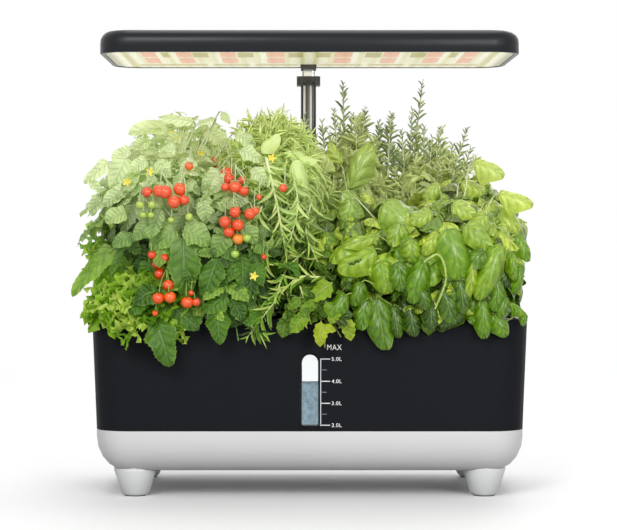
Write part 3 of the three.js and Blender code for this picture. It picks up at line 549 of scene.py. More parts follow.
def dress_hardware():
    """Gives each CAD node the finish of its slot."""
    made = {}
    for part in frame["record"]["subparts"]:
        slot = part["material_slot"]
        if slot not in HARDWARE:
            continue
        if slot not in made:
            made[slot] = HARDWARE[slot]()
        node = frame["nodes"][part["node"]]
        node.data.materials.clear()
        node.data.materials.append(made[slot].material)


SMOOTHED = {"tank": "tank_black", "base_shell": "base_grey", "panel_housing": "panel_black",
            "post_collar": "collar_black", "foot_front_left": "foot_grey", "foot_front_right": "foot_grey",
            "foot_rear_left": "foot_grey", "foot_rear_right": "foot_grey"}
WELD = 0.00001
SHARP_ANGLE = math.radians(32)
# A bend of more than this beside a level face stays a crisp edge
LEVEL_ANGLE = math.radians(2)
LEVEL_NORMAL = 0.9999


def smooth_shells():
    """The moulded shells again, with their facets joined and shaded as one curve."""
    for name, slot in SMOOTHED.items():
        node = frame["nodes"][name]
        mesh = bmesh.new()
        mesh.from_mesh(node.data)
        bmesh.ops.remove_doubles(mesh, verts=mesh.verts, dist=WELD)
        level = {edge.index for edge in mesh.edges
                 if edge.is_manifold and edge.calc_face_angle() > LEVEL_ANGLE
                 and any(abs(face.normal.z) > LEVEL_NORMAL for face in edge.link_faces)}
        data = bpy.data.meshes.new(f"{name}_shell")
        mesh.to_mesh(data)
        mesh.free()
        data.materials.clear()
        data.materials.append(node.data.materials[0])
        data.polygons.foreach_set("material_index", [0] * len(data.polygons))
        data.polygons.foreach_set("use_smooth", [True] * len(data.polygons))
        data.set_sharp_from_angle(angle=SHARP_ANGLE)
        for edge in level:
            data.edges[edge].use_edge_sharp = True
        shell = bpy.data.objects.new(f"{name}_shell", data)
        bpy.context.scene.collection.objects.link(shell)
        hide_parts(name)
        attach(shell, "lamp" if name == "panel_housing" else "garden")


# Level window and its scale
def front_wall(height):
    """Depth of the front wall's outer face at this height."""
    return -RIM_HALF_DEPTH + WALL_LEAN * (RIM_HEIGHT - height)


def on_wall(across, height):
    """Frame that lies on the front wall: X across, Y up the wall, Z outwards."""
    lean = math.hypot(1, WALL_LEAN)
    up = Vector((0, -WALL_LEAN / lean, 1 / lean))
    out = Vector((0, -1 / lean, -WALL_LEAN / lean))
    turn = Matrix((Vector((1, 0, 0)), up, out)).transposed().to_4x4()
    return Matrix.Translation((across, front_wall(height), height)) @ turn


# Printed scale, in metres across and up the wall
PRINT_PROUD = 0.00012
SCALE_LINE = 0.0083
LINE_HALF = 0.0003
LINE_PAST = 0.0005
MAJOR_HALF = 0.00036
MINOR_HALF = 0.0003
SCALE_MAJOR = ((0.1094, "5.0L"), (0.0921, "4.0L"), (0.0750, "3.0L"), (0.0580, "2.0L"))
SCALE_MINOR = (0.1009, 0.0836, 0.0666)
MAJOR_END = 0.0156
MINOR_SPAN = (0.0094, 0.0129)
LABEL_SPAN = (0.0168, 0.0245)
LABEL_HEIGHT = 0.0029
TOP_LABEL = ("MAX", 0.0133, 0.0245, 0.1164, 0.0042)


def ink(name, bright, worn):
    """Print, a little worn."""
    finish = Finish(name, bright, 0.5)
    finish.set("Base Color", finish.mix(finish.noise(1500) * 0.3, bright, worn))
    return finish


def scale_lines():
    """The scale's line, its long and short marks, and its plain numbers."""
    finishes = [ink("scale_print", "#dfe1e3", "#c2c5c9"), ink("scale_print_minor", "#77797d", "#646669")]
    mesh = bmesh.new()

    def stroke(x0, x1, z0, z1, index):
        """One printed bar on the wall."""
        middle = (z0 + z1) / 2
        half = (z1 - z0) / 2
        verts = bar(mesh, (x0, -half, -PRINT_PROUD), (x1, half, PRINT_PROUD))
        bmesh.ops.transform(mesh, matrix=on_wall(0, middle), verts=verts)
        for face in {face for vert in verts for face in vert.link_faces}:
            face.material_index = index

    stroke(SCALE_LINE - LINE_HALF, SCALE_LINE + LINE_HALF, SCALE_MAJOR[-1][0] - LINE_PAST,
           SCALE_MAJOR[0][0] + LINE_PAST, 0)
    for height, _ in SCALE_MAJOR:
        stroke(SCALE_LINE, MAJOR_END, height - MAJOR_HALF, height + MAJOR_HALF, 0)
    for height in SCALE_MINOR:
        stroke(*MINOR_SPAN, height - MINOR_HALF, height + MINOR_HALF, 1)
    lines = piece_of("scale_lines", mesh, finishes, smooth=False)
    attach(lines, "garden")

    mesh = bmesh.new()
    labels = [(text, *LABEL_SPAN, height - LABEL_HEIGHT / 2, LABEL_HEIGHT) for height, text in SCALE_MAJOR]
    for text, x0, x1, base, tall in labels + [TOP_LABEL]:
        letters = lettering(text, x1 - x0, tall)
        letters.transform(on_wall(x0, base))
        mesh.from_mesh(letters)
    words = piece_of("scale_numerals", mesh, [ink("scale_ink", "#ffffff", "#dfe2e6")], smooth=False)
    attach(words, "garden")


def lettering(text, width, height):
    """Flat letters with a little thickness, their lower left corner at the origin."""
    curve = bpy.data.curves.new(text, "FONT")
    curve.body = text
    curve.space_character = 1.12
    curve.extrude = 0.5
    curve.resolution_u = 4
    source = bpy.data.objects.new(text, curve)
    mesh = bpy.data.meshes.new_from_object(source)
    bpy.data.objects.remove(source)
    xs = [v.co.x for v in mesh.vertices]
    ys = [v.co.y for v in mesh.vertices]
    mesh.transform(Matrix.Translation((-min(xs), -min(ys), 0)))
    mesh.transform(Matrix.Diagonal((width / (max(xs) - min(xs)), height / (max(ys) - min(ys)),
                                    2 * PRINT_PROUD, 1)))
    return mesh


# Glare at the water's left and right edge, and the shade under its surface
LEFT_GLARE = (-0.0062, -0.0040)
RIGHT_GLARE = (0.0040, 0.0058)
SURFACE_SHADE = (0.0900, 0.0921)
CHANNEL_WALL = 0.0019
PANE_BACK = front_wall(SCALE_MAJOR[-1][0]) + 0.0028
WATER_BEVEL = 0.0004


def gauge_water():
    """The water that stands in the gauge channel, with its bubbles."""
    finish = Finish("gauge_water", "#7f9fab", 0.2)
    across, _, height = finish.xyz()
    cloud = finish.noise(220, 3)
    blots = finish.node("ShaderNodeTexVoronoi", None, {"Vector": finish.place(), "Scale": 330.0},
                        out="Distance")
    specks = finish.noise(640, 4)
    finish.set("Base Color", finish.layered(
        finish.ramp(cloud, [(0.25, "#42636f"), (0.5, "#65899a"), (0.75, "#88adba")]),
        (blots.fall(0.08, 0.24) * 0.4, "#c4dbe1"),
        (specks.rise(0.6, 0.68) * 0.6, "#3c5966"),
        (across.fall(*LEFT_GLARE) * 0.3, "#b4d2da"),
        (across.rise(*RIGHT_GLARE) * 0.35, "#9cc3cf"),
        (height.rise(*SURFACE_SHADE) * 0.35, "#4f6a74")))
    low, high = (Vector(corner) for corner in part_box("gauge_channel"))
    mesh = bmesh.new()
    bar(mesh, (low.x + CHANNEL_WALL, PANE_BACK, low.z + CHANNEL_WALL),
        (high.x - CHANNEL_WALL, high.y - CHANNEL_WALL, WATER_LEVEL), WATER_BEVEL)
    water = piece_of("gauge_water", mesh, [finish], smooth=False)
    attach(water, "garden")


# Leaf shapes
def blade(name, rows, columns, shape):
    """A leaf one long and one wide: base at the origin, tip along +X, upper side up."""
    mesh = bmesh.new()
    uv = mesh.loops.layers.uv.new("UVMap")
    tone = mesh.verts.layers.float.new("tone")
    bmesh.ops.create_grid(mesh, x_segments=rows, y_segments=columns, size=0.5)
    for face in mesh.faces:
        for loop in face.loops:
            loop[uv].uv = (loop.vert.co.x + 0.5, loop.vert.co.y + 0.5)
    for vert in mesh.verts:
        vert[tone] = MIDDLE_TONE
        vert.co = shape(vert.co.x + 0.5, vert.co.y * 2, round((vert.co.x + 0.5) * rows))
    bmesh.ops.remove_doubles(mesh, verts=mesh.verts, dist=0.0005)
    data = bpy.data.meshes.new(name)
    mesh.to_mesh(data)
    mesh.free()
    return data


def rounded(along):
    """Rows of a blade, closer together at its base and tip."""
    return (1 - math.cos(math.pi * along)) / 2


def leaf_shape(skew, fullness, tooth=0.0, fold=0.0, dome=0.0, droop=0.6, wave=0.0, twist=0.0, phase=0.0,
               lobes=0.0):
    """Outline and hollows of a leaf, as a function of the place along and across it."""
    bent = max(droop, 1e-3)
    end_reach, end_drop = math.sin(bent) / bent, (1 - math.cos(bent)) / bent
    tilt = math.atan2(end_drop, end_reach)
    stretch = 1 / math.hypot(end_reach, end_drop)

    def shape(along, across, row):
        if not tooth:
            along = rounded(along)
        half = 0.5 * max(math.sin(math.pi * along ** skew), 0.0) ** fullness
        half *= 1 + lobes * math.sin(along * 14 + phase) * (1 - along)
        if abs(across) > 0.99:
            half *= 1 + tooth * (1 if row % 2 else -1)
        side = across * half
        lift = fold * abs(side) - dome * side * side * 2
        lift += wave * math.sin(along * 9 + phase + (2 if across > 0 else 0)) * abs(across) * half
        lift += twist * side * along
        bend = bent * along
        x = math.sin(bend) / bent + lift * math.sin(bend)
        z = lift * math.cos(bend) - (1 - math.cos(bend)) / bent
        return Vector(((x * math.cos(tilt) - z * math.sin(tilt)) * stretch, side,
                       (x * math.sin(tilt) + z * math.cos(tilt)) * stretch))

    return shape


def frill_shape(spread, ruffle, waves, phase):
    """A lettuce leaf: a fan that widens to a ruffled edge."""

    def shape(along, across, row):
        turn = across * spread * (0.45 + 0.55 * along)
        reach = along * (1 - 0.10 * abs(across))
        crumple = ruffle * (math.sin(across * waves + phase)
                            + 0.6 * math.sin(across * waves * 2.3 + along * 5)) * along ** 1.8
        reach += 0.07 * math.sin(across * waves * 1.7 + phase) * along ** 3
        cup = 0.16 * across * across * along - 0.25 * along * along * (0.6 + 0.4 * math.cos(phase))
        return Vector((reach * math.cos(turn) - crumple * 0.4 * along, reach * math.sin(turn), crumple + cup))

    return shape


# Leaves of one kind, a row per variant: fold, dome, droop, wave, and for the tomato its skew first
BASIL_VARIANTS = ((0.45, 1.4, 1.2, 0.12), (0.3, 1.1, 0.9, 0.2), (0.5, 1.7, 1.5, 0.1), (0.6, 1.1, 0.7, 0.22))
TOMATO_VARIANTS = ((0.66, 0.22, 0.3, 0.7, 0.16), (0.72, 0.35, 0.2, 1.0, 0.22), (0.6, 0.12, 0.5, 0.5, 0.12),
                   (0.7, 0.3, 0.4, 1.2, 0.18))
# Dome and droop
MINT_VARIANTS = ((0.3, 0.5), (0.5, 0.9), (0.1, 0.3))
LETTUCE_WAVES = (13.0, 15.0, 11.0)
NARROW_DROOPS = (0.3, 0.55, 0.1)
NEEDLE_DROOPS = (0.08, 0.3)


def leaf_forms():
    """Every kind of leaf, each in a few variants."""

    def variants(name, rows, columns, shapes):
        return [blade(f"{name}_{i}", rows, columns, shape) for i, shape in enumerate(shapes)]

    forms = {}
    for name, rows, columns in (("basil", 7, 6), ("basil_large", 12, 8)):
        forms[name] = variants(name, rows, columns, [
            leaf_shape(0.84, 0.47, fold=fold, dome=dome, droop=droop, wave=wave, twist=0.1, phase=i)
            for i, (fold, dome, droop, wave) in enumerate(BASIL_VARIANTS)])
    for name, rows, tooth in (("tomato", 11, 0.09), ("tomato_large", 23, 0.05)):
        forms[name] = variants(name, rows, 4, [
            leaf_shape(skew, 0.62, tooth, fold, dome, droop, wave, twist=0.1, phase=i, lobes=0.2)
            for i, (skew, fold, dome, droop, wave) in enumerate(TOMATO_VARIANTS)])
    forms["mint"] = variants("mint", 9, 4, [
        leaf_shape(0.74, 0.55, tooth=0.10, fold=0.2, dome=dome, droop=droop, wave=0.25, twist=0.15, phase=i)
        for i, (dome, droop) in enumerate(MINT_VARIANTS)])
    forms["lettuce"] = variants("lettuce", 4, 13, [
        frill_shape(math.radians(95), 0.2, waves, i * 2.1) for i, waves in enumerate(LETTUCE_WAVES)])
    forms["narrow"] = variants("narrow", 5, 2, [
        leaf_shape(0.72, 0.9, fold=0.5, droop=droop, twist=0.2, phase=i)
        for i, droop in enumerate(NARROW_DROOPS)])
    forms["needle"] = variants("needle", 3, 2, [
        leaf_shape(0.9, 0.45, fold=0.7, droop=droop, phase=i)
        for i, droop in enumerate(NEEDLE_DROOPS)])
    return forms


# Leaf finishes
# Painted lamp light on the growth: the heights over which it comes in, where across it lessens, and by how
# much
LAMP_LIGHT_HEIGHT = (0.178, 0.262)
LAMP_LIGHT_SIDE = (-0.02, 0.12)
LAMP_LIGHT_LESS = 0.1
# Where a leaf's four greens lie on its ramp, from dark to light
GREEN_STOPS = (0.0, 0.2, 0.5, 0.9)


def painted_lamp_light(finish, colour, pale, share):
    """Painted lamp light: the growth under the lamp is paler, most of all over the left half."""
    across, _, height = finish.xyz()
    lamp_light_mask = height.rise(*LAMP_LIGHT_HEIGHT) * (1 - LAMP_LIGHT_LESS * across.rise(*LAMP_LIGHT_SIDE))
    return finish.mix(lamp_light_mask * share, colour, pale)


def leaf_finish(name, greens, vein, veins, slant, roughness, coat, relief, pale="#dfe9c6", share=0.75,
                quilt_and_painted_shading=0.0, rib=0.4, through=0.3):
    """Green leaf with a midrib, side veins, uneven colour, a little gloss and light that shines through;
    painted shade in its quilting's grooves and along the midrib, painted highlights on the pads between them,
    and painted lamp light.
    """
    finish = Finish(name, greens[2], roughness, Coat_Weight=coat, Coat_Roughness=0.16,
                    Specular_IOR_Level=0.3)
    along, across = finish.uv()
    side = abs(across - 0.5) * 2
    midrib = side.fall(0.03, 0.11)
    to_vein = (along * veins - side * slant + side * side * slant * 0.35).off_middle()
    branch = to_vein.rise(0.36, 0.5) * side.fall(0.7, 1.0)
    patch = finish.noise(260, 3)
    colour = finish.ramp(finish.tone() * 0.72 + patch * 0.42 - 0.07, list(zip(GREEN_STOPS, greens)))
    if quilt_and_painted_shading:
        # Painted shade in the quilting's grooves and along the midrib, and a painted highlight on the pads
        # between them
        painted_groove_shade = to_vein.rise(0.22, 0.5) * side.fall(0.8, 1.0) + side.fall(0.02, 0.2)
        pad = to_vein.fall(0.05, 0.3) * side.rise(0.12, 0.3) * side.fall(0.6, 0.95)
        colour = finish.layered(colour, (painted_groove_shade * quilt_and_painted_shading * 0.16, greens[1]), (pad * quilt_and_painted_shading * 0.1, greens[-1]))
    colour = finish.layered(colour, (midrib * rib + branch * rib * 0.5, vein),
                            (side.rise(0.8, 1.0) * 0.2, greens[-1]))
    colour = painted_lamp_light(finish, colour, pale, share)
    finish.set("Base Color", colour)
    finish.uneven(roughness - 0.075, roughness + 0.075, patch)
    puff = to_vein.fall(0.0, 0.5) * side.rise(0.0, 0.25) * quilt_and_painted_shading
    finish.bump(puff + patch * 0.25 - midrib * 0.5 - branch * 0.35, relief * MM, 0.9)
    finish.blend(through, finish.node("ShaderNodeBsdfTranslucent", None, {"Color": colour}))
    return finish


def stem_finish(name, dark, light, pale="#e9eccb", share=0.6):
    """Green stem with an uneven colour and painted lamp light."""
    finish = Finish(name, light, 0.5)
    grain = finish.noise(420, 3)
    finish.set("Base Color", painted_lamp_light(finish, finish.ramp(grain, [(0.3, dark), (0.7, light)]), pale, share))
    finish.bump(grain, 0.12 * MM, 0.6)
    return finish


def sponge_finish():
    """Dark brown foam."""
    finish = Finish("grow_sponge", "#3b2f26", 0.95)
    grain = finish.noise(900, 4)
    finish.set("Base Color", finish.ramp(grain, [(0.3, "#221a15"), (0.7, "#54463a")]))
    finish.bump(grain, 0.5 * MM)
    return finish


def tomato_skin():
    """Ripeness is the tone: green, then orange, then red; a little painted lamp light over it."""
    finish = Finish("tomato_skin", "#dc3410", 0.2, Coat_Weight=0.5, Coat_Roughness=0.14,
                    Specular_IOR_Level=0.4)
    mottle = finish.noise(180, 2)
    ripe = finish.ramp(finish.tone() + (mottle - 0.5) * 0.14,
                       [(0.0, "#97c040"), (0.3, "#b4ce58"), (0.55, "#f28e1e"), (0.8, "#f2560c"),
                        (1.0, "#de3c06")])
    finish.set("Base Color", painted_lamp_light(finish, ripe, "#f59a72", 0.12))
    finish.uneven(0.16, 0.24, mottle)
    return finish


def petal_finish():
    """Yellow with paler patches."""
    finish = Finish("petal", "#f2d532", 0.5)
    finish.set("Base Color", finish.ramp(finish.noise(700), [(0.3, "#f3da2c"), (0.7, "#f8ec7a")]))
    return finish


# Plants
# Middle and half size of each plant's crown, in millimetres
CROWN_TABLE = {
    "lettuce": ((-128, -72, 142), (46, 44, 36)),
    "tomato_front": ((-62, -66, 176), (50, 52, 76)),
    "mint": ((10, -74, 148), (42, 42, 36)),
    "basil_front": ((104, -64, 172), (66, 50, 62)),
    "tomato_left": ((-116, -30, 218), (56, 74, 58)),
    "savory": ((-30, -24, 222), (46, 78, 78)),
    "basil_middle": ((42, -28, 190), (50, 70, 46)),
    "basil_right": ((126, -4, 202), (48, 54, 52)),
    "tomato_rear": ((-106, 62, 226), (60, 46, 78)),
    "rosemary_left": ((-40, 60, 222), (40, 48, 74)),
    "rosemary_centre": ((38, 58, 224), (40, 46, 76)),
    "rosemary_right": ((104, 58, 216), (46, 44, 70)),
}
CROWNS = {name: (Vector(centre) * MM, Vector(reach) * MM) for name, (centre, reach) in CROWN_TABLE.items()}
PODS = {name: index for index, name in enumerate(CROWNS)}
PODS_IN_A_ROW = 4
# How much darker a plant's lowest leaves are
LOW_SHADE = {"basil_front": 0.14, "basil_middle": 0.14, "basil_right": 0.14, "savory": 0.2}
# How much further than its table says a plant's tones lie from the middle one
TONE_SPREAD = {"basil_front": 1.15, "basil_middle": 1.15, "basil_right": 1.15}
SHADE_TOP = 0.185
SHADE_DEPTH = 0.045


def pod_place(name):
    """Top of the seat that a plant grows in."""
    row, column = divmod(PODS[name], PODS_IN_A_ROW)
    return Vector(((column - 1.5) * POD_ACROSS, (row - 1) * POD_DEEP + POD_SHIFT, SEAT_TOP))


def depth_in(point, name):
    """Below 1 inside the crown, above 1 outside it."""
    centre, reach = CROWNS[name]
    away = point - centre
    return math.sqrt(sum((away[i] / reach[i]) ** 2 for i in range(3)))


NO_CROWN_DEPTH = -0.06


def skin(across, down):
    """Depth of the foremost foliage at a pixel."""
    ray = photo(across, down, 0.0) - EYE
    nearest = None
    for centre, reach in CROWNS.values():
        offset = EYE - centre
        a = sum((ray[i] / reach[i]) ** 2 for i in range(3))
        b = sum(ray[i] * offset[i] / reach[i] ** 2 for i in range(3))
        c = sum((offset[i] / reach[i]) ** 2 for i in range(3)) - 1
        inside = b * b - a * c
        if inside > 0:
            hit = (-b - math.sqrt(inside)) / a
            nearest = hit if nearest is None else min(nearest, hit)
    return NO_CROWN_DEPTH if nearest is None else (EYE + ray * nearest).y


def before_wall(deep, down, above_rim, room):
    """A depth, brought in front of the tank's wall where the pixel lies too low to clear the rim."""
    if photo(0, down, deep).z < RIM_HEIGHT + above_rim:
        return min(deep, -RIM_HALF_DEPTH - room)
    return deep


# Furthest out that foliage may reach, and furthest forward for leaves, fruit and stems set by pixels
FRONT_LIMIT = 0.119
SIDE_LIMIT = 0.189
FEATURE_LIMIT = -0.114
FRUIT_LIMIT = -0.119
STEM_LIMIT = -0.106
# Room kept free: round the post, over the fill flap, before the scale and in the tank
POST_HALF = 0.012
POST_ROOM = 0.018
FLAP_LEFT = 0.119
FLAP_HALF_DEPTH = 0.025
FLAP_ROOM_TOP = 0.180
HANG_FRONT = -0.088
HANG_LIMIT = 0.1335
DECK_HALF_WIDTH = 0.168
DECK_HALF_DEPTH = 0.092
DECK_ROOM_TOP = 0.141
WALL_ROOM = 0.0016


def is_clear(point):
    """Clear of the lamp, the post, the fill flap's swing, the tank and the scale on its front."""
    wide, deep = abs(point.x), abs(point.y)
    return not (point.z > FOLIAGE_TOP or deep > FRONT_LIMIT or wide > SIDE_LIMIT
                or wide < POST_HALF and abs(point.y - POST_BACK) < POST_HALF
                or point.x > FLAP_LEFT and deep < FLAP_HALF_DEPTH and point.z < FLAP_ROOM_TOP
                or point.y < HANG_FRONT and point.z < HANG_LIMIT
                or wide < DECK_HALF_WIDTH and deep < DECK_HALF_DEPTH and point.z < DECK_ROOM_TOP)


def settle(point):
    """Lays a leaf against the tank where it would cut into the wall or the deck."""
    if point.z > RIM_HEIGHT + WALL_ROOM:
        return point
    lean = WALL_LEAN * max(RIM_HEIGHT - point.z, 0)
    wide = RIM_HALF_WIDTH + WALL_ROOM - lean - abs(point.x)
    deep = RIM_HALF_DEPTH + WALL_ROOM - lean - abs(point.y)
    if wide <= 0 or deep <= 0:
        return point
    rise = RIM_HEIGHT + WALL_ROOM - point.z
    if rise < min(wide, deep):
        point.z += rise
    elif deep < wide:
        point.y += math.copysign(deep, point.y)
    else:
        point.x += math.copysign(wide, point.x)
    return point


# Places in a plant's list of finishes; fruit and petal are the tomato's, the tall tip is the rosemary's
LEAF = 0
STEM = 1
FRUIT = 2
PETAL = 3
TALL_TIP = 3
# Below this height over the rim a leaf is laid over the tank's edge
DRAPE_ABOVE = 0.012
SPONGE_DEPTH = 0.038
SPONGE_FOOT = 0.0092
SPONGE_TOP = 0.0112
SPONGE_BEVEL = 0.0012


class Plant:
    """One plant: its leaves, stems and fruit in a single mesh."""

    def __init__(self, name, slot, finishes):
        self.name = name
        self.slot = slot
        self.finishes = finishes
        self.draw = random.Random(name)
        self.mesh = bmesh.new()
        self.mesh.loops.layers.uv.new("UVMap")
        self.mesh.verts.layers.float.new("tone")
        self.stems = []
        self.centre, self.reach = CROWNS[name]
        self.low_shade = LOW_SHADE.get(name, 0.0)
        self.tone_spread = TONE_SPREAD.get(name, 1.0)
        self.sponge()

    def join(self, source, matrix, tone, finish, drape=False):
        """Adds a copy of a mesh in one tone and finish; draped, it lies against the tank."""
        made = source.copy()
        made.transform(matrix)
        if "tone" not in made.attributes:
            made.attributes.new("tone", "FLOAT", "POINT")
        made.attributes["tone"].data.foreach_set("value", [tone] * len(made.vertices))
        made.polygons.foreach_set("material_index", [finish] * len(made.polygons))
        if drape:
            for vert in made.vertices:
                vert.co = settle(vert.co)
        self.mesh.from_mesh(made)
        bpy.data.meshes.remove(made)

    def leaf(self, form, at, along, facing, length, width, tone, finish=LEAF, checked=True):
        """Sets one leaf, unless it is checked and would leave the room for foliage."""
        along = along.normalized()
        tip = at + along * length
        if checked and not (is_clear(at) and is_clear(tip) and is_clear((at + tip) / 2)):
            return
        across = facing.cross(along)
        if across.length < 0.05:
            across = along.cross(Vector((0.3, -0.8, 0.5)))
        across.normalize()
        top = along.cross(across)
        turn = Matrix((along * length, across * width, top * (length + width) / 2)).transposed().to_4x4()
        turn.translation = at
        tone = MIDDLE_TONE + (tone - MIDDLE_TONE) * self.tone_spread
        tone -= self.low_shade * min(max((SHADE_TOP - at.z) / SHADE_DEPTH, 0), 1)
        self.join(self.draw.choice(form), turn, tone, finish, min(at.z, tip.z) < RIM_HEIGHT + DRAPE_ABOVE)

    def stem(self, points, thick, thin):
        """Keeps a stem's path and its radius at both ends for round_stems."""
        self.stems.append(([Vector(p) for p in points], thick, thin))

    def round_stems(self):
        """All of the plant's stems, as round rods along their paths."""
        curve = bpy.data.curves.new(self.name, "CURVE")
        curve.dimensions = "3D"
        curve.bevel_depth = 1.0
        curve.bevel_resolution = 1
        curve.use_fill_caps = True
        for points, thick, thin in self.stems:
            spline = curve.splines.new("POLY")
            spline.points.add(len(points) - 1)
            for i, point in enumerate(points):
                spline.points[i].co = (*point, 1)
                spline.points[i].radius = thick + (thin - thick) * i / (len(points) - 1)
        source = bpy.data.objects.new(self.name, curve)
        mesh = bpy.data.meshes.new_from_object(source)
        bpy.data.objects.remove(source)
        self.join(mesh, Matrix.Identity(4), MIDDLE_TONE, STEM)

    def sponge(self):
        """The grow sponge in the plant's basket."""
        middle = pod_place(self.name) - UP * SPONGE_DEPTH / 2
        mesh = bmesh.new()
        bmesh.ops.create_cone(mesh, cap_ends=True, segments=20, radius1=SPONGE_FOOT, radius2=SPONGE_TOP,
                              depth=SPONGE_DEPTH, matrix=Matrix.Translation(middle))
        rims = [edge for edge in mesh.edges if edge.is_manifold and edge.calc_face_angle() > 1]
        bmesh.ops.bevel(mesh, geom=rims, offset=SPONGE_BEVEL, offset_type="OFFSET", affect="EDGES",
                        segments=2, profile=0.5, material=-1)
        data = bpy.data.meshes.new("sponge")
        mesh.to_mesh(data)
        mesh.free()
        self.join(data, Matrix.Identity(4), MIDDLE_TONE, self.finishes.index(SPONGE))

    def toward(self, point, share):
        """A share of the way from the crown's middle to a point."""
        return self.centre + (point - self.centre) * share

    def done(self):
        """Makes the piece, in place of the plant's solid."""
        self.round_stems()
        made = piece_of(f"foliage_{self.name}", self.mesh, self.finishes)
        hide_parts(f"plant_{self.name}")
        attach(made, "garden")

    def crown_points(self, count, lowest=-1.0, buried=0.72):
        """Points spread evenly over the crown, with the way that the surface faces."""
        for i in range(count):
            height = 1 - 2 * (i + 0.5) / count
            if height < lowest:
                continue
            flat = math.sqrt(1 - height * height)
            turn = i * GOLDEN + self.draw.uniform(-0.3, 0.3)
            unit = Vector((flat * math.cos(turn), flat * math.sin(turn), height))
            point = self.centre + unit * self.reach
            facing = Vector([unit[k] / self.reach[k] for k in range(3)]).normalized()
            if any(depth_in(point, other) < buried for other in CROWNS if other != self.name):
                continue
            yield point, facing

    def shingles(self, form, count, size, width, depth, tone, lean=0.0, turn=0.8, buried=0.72, lowest=-1.0):
        """Leaves laid over the crown at a share of its depth, tips down."""
        draw = self.draw
        for point, facing in self.crown_points(count, lowest, buried):
            at = self.toward(point, depth * draw.uniform(0.94, 1.06))
            down = facing * facing.z - UP
            if down.length < 0.5:
                down = Vector((draw.uniform(-1, 1), draw.uniform(-1, 0.4), draw.uniform(-0.5, 0.5)))
            down = Matrix.Rotation(draw.uniform(-turn, turn), 3, facing) @ down.normalized()
            long = size * draw.uniform(0.8, 1.2) * (1 - 0.35 * max(facing.z, 0))
            along = down + facing * lean * draw.uniform(0.3, 1.4)
            tilt = Vector([draw.uniform(-1, 1) for _ in range(3)]) * 0.35
            # Leaves that face up get a lighter tone: painted light from above
            self.leaf(FORMS[form], at - along.normalized() * long * 0.5, along, facing + UP * 0.35 + tilt,
                      long, long * width, draw.uniform(*tone) + 0.12 * facing.z)

    def trunk(self, thick):
        """Stems from the pod up to the middle of the crown."""
        pod = pod_place(self.name)
        top = self.centre + UP * self.reach.z * 0.25
        paths = []
        for _ in range(3):
            lean = Vector((self.draw.uniform(-1, 1), self.draw.uniform(-1, 1), 0)) * 0.008
            paths.append(interpolate_bezier(pod + lean * 0.4, pod + lean + UP * 0.02,
                                            top + lean * 2 - UP * 0.02, top + lean * 2.5, 10))
            self.stem(paths[-1], thick, thick * 0.6)
        return paths


def along_path(path, share):
    """Point and direction at a share of a path's length."""
    steps = [b - a for a, b in zip(path, path[1:])]
    lengths = [step.length for step in steps]
    want = share * sum(lengths)
    for start, step, length in zip(path, steps, lengths):
        if want <= length or step is steps[-1]:
            return start + step * min(want / max(length, TINY), 1), step.normalized()
        want -= length


def curve_to(start, start_way, end, end_way, steps=9):
    """A bent path between two points that leaves and arrives in the given directions."""
    pull = (end - start).length * 0.4
    return interpolate_bezier(start, start + start_way.normalized() * pull,
                              end - end_way.normalized() * pull, end, steps)


def whorls(plant, path, form, length, width, spread, spacing, count, twist, tip, tone, droop=0.0,
           bare=0.0, finish=LEAF, face_up=0.3, checked=True):
    """Leaves set round a stem, smaller towards its tip; a bare share of it, from its start, gets none."""
    draw = plant.draw
    total = sum((b - a).length for a, b in zip(path, path[1:]))
    turn = draw.uniform(0, TAU)
    back = 0.0
    while back < total * (1 - bare):
        at, way = along_path(path, 1 - back / total)
        side = way.cross(Vector((0.2, 0.9, 0.4))).normalized()
        other = way.cross(side)
        grown = min(1.0, tip + (1 - tip) * back / (total * 0.35))
        for k in range(count):
            angle = turn + k * TAU / count + draw.uniform(-0.5, 0.5)
            out = side * math.cos(angle) + other * math.sin(angle)
            open_by = spread * (0.45 + 0.55 * grown) * draw.uniform(0.7, 1.3)
            along = way * math.cos(open_by) + out * math.sin(open_by) - UP * droop * grown
            facing = way * math.sin(open_by) - out * math.cos(open_by) + UP * face_up
            size = length * grown * draw.uniform(0.7, 1.25)
            plant.leaf(FORMS[form], at + way * spacing * draw.uniform(-0.25, 0.25), along, facing, size,
                       size * width, draw.uniform(*tone), finish, checked)
        turn += twist
        back += spacing * (0.5 + 0.5 * grown) * draw.uniform(0.75, 1.25)


# Leaflet pairs of a tomato leaf: place along its stalk and size, as shares
LEAFLET_PAIRS = ((0.72, 0.85), (0.45, 0.72), (0.24, 0.45))
END_LEAFLET = (0.98, 1.15)
# Radius of a thin stem at its foot and at its tip
STALK = (0.0009, 0.0005)


def compound(plant, path, facing, size, tone):
    """A tomato leaf: a toothed leaflet at the end, and pairs of them along the stalk."""
    draw = plant.draw
    plant.stem(path, *STALK)
    share, scale = END_LEAFLET
    at, way = along_path(path, share)
    plant.leaf(FORMS["tomato"], at, way - UP * 0.25, facing, size * scale, size * scale * 0.62,
               tone + draw.uniform(-0.1, 0.1))
    for share, scale in LEAFLET_PAIRS:
        at, way = along_path(path, share)
        side = way.cross(facing).normalized()
        for sign in (-1, 1):
            along = way * 0.45 + side * sign * draw.uniform(0.75, 1.0) - UP * draw.uniform(0.15, 0.5)
            long = size * scale * draw.uniform(0.85, 1.15)
            tilt = Vector((draw.uniform(-1, 1), draw.uniform(-1, 1), draw.uniform(-1, 1))) * 0.25
            plant.leaf(FORMS["tomato"], at + side * sign * 0.002, along, facing + tilt, long,
                       long * draw.uniform(0.52, 0.66), tone + draw.uniform(-0.15, 0.15))


# How far leaves, lettuce and stems set by pixels stand before the leaf mass
FEATURE_PROUD = 0.004
LETTUCE_PROUD = 0.002
STEM_PROUD = 0.006


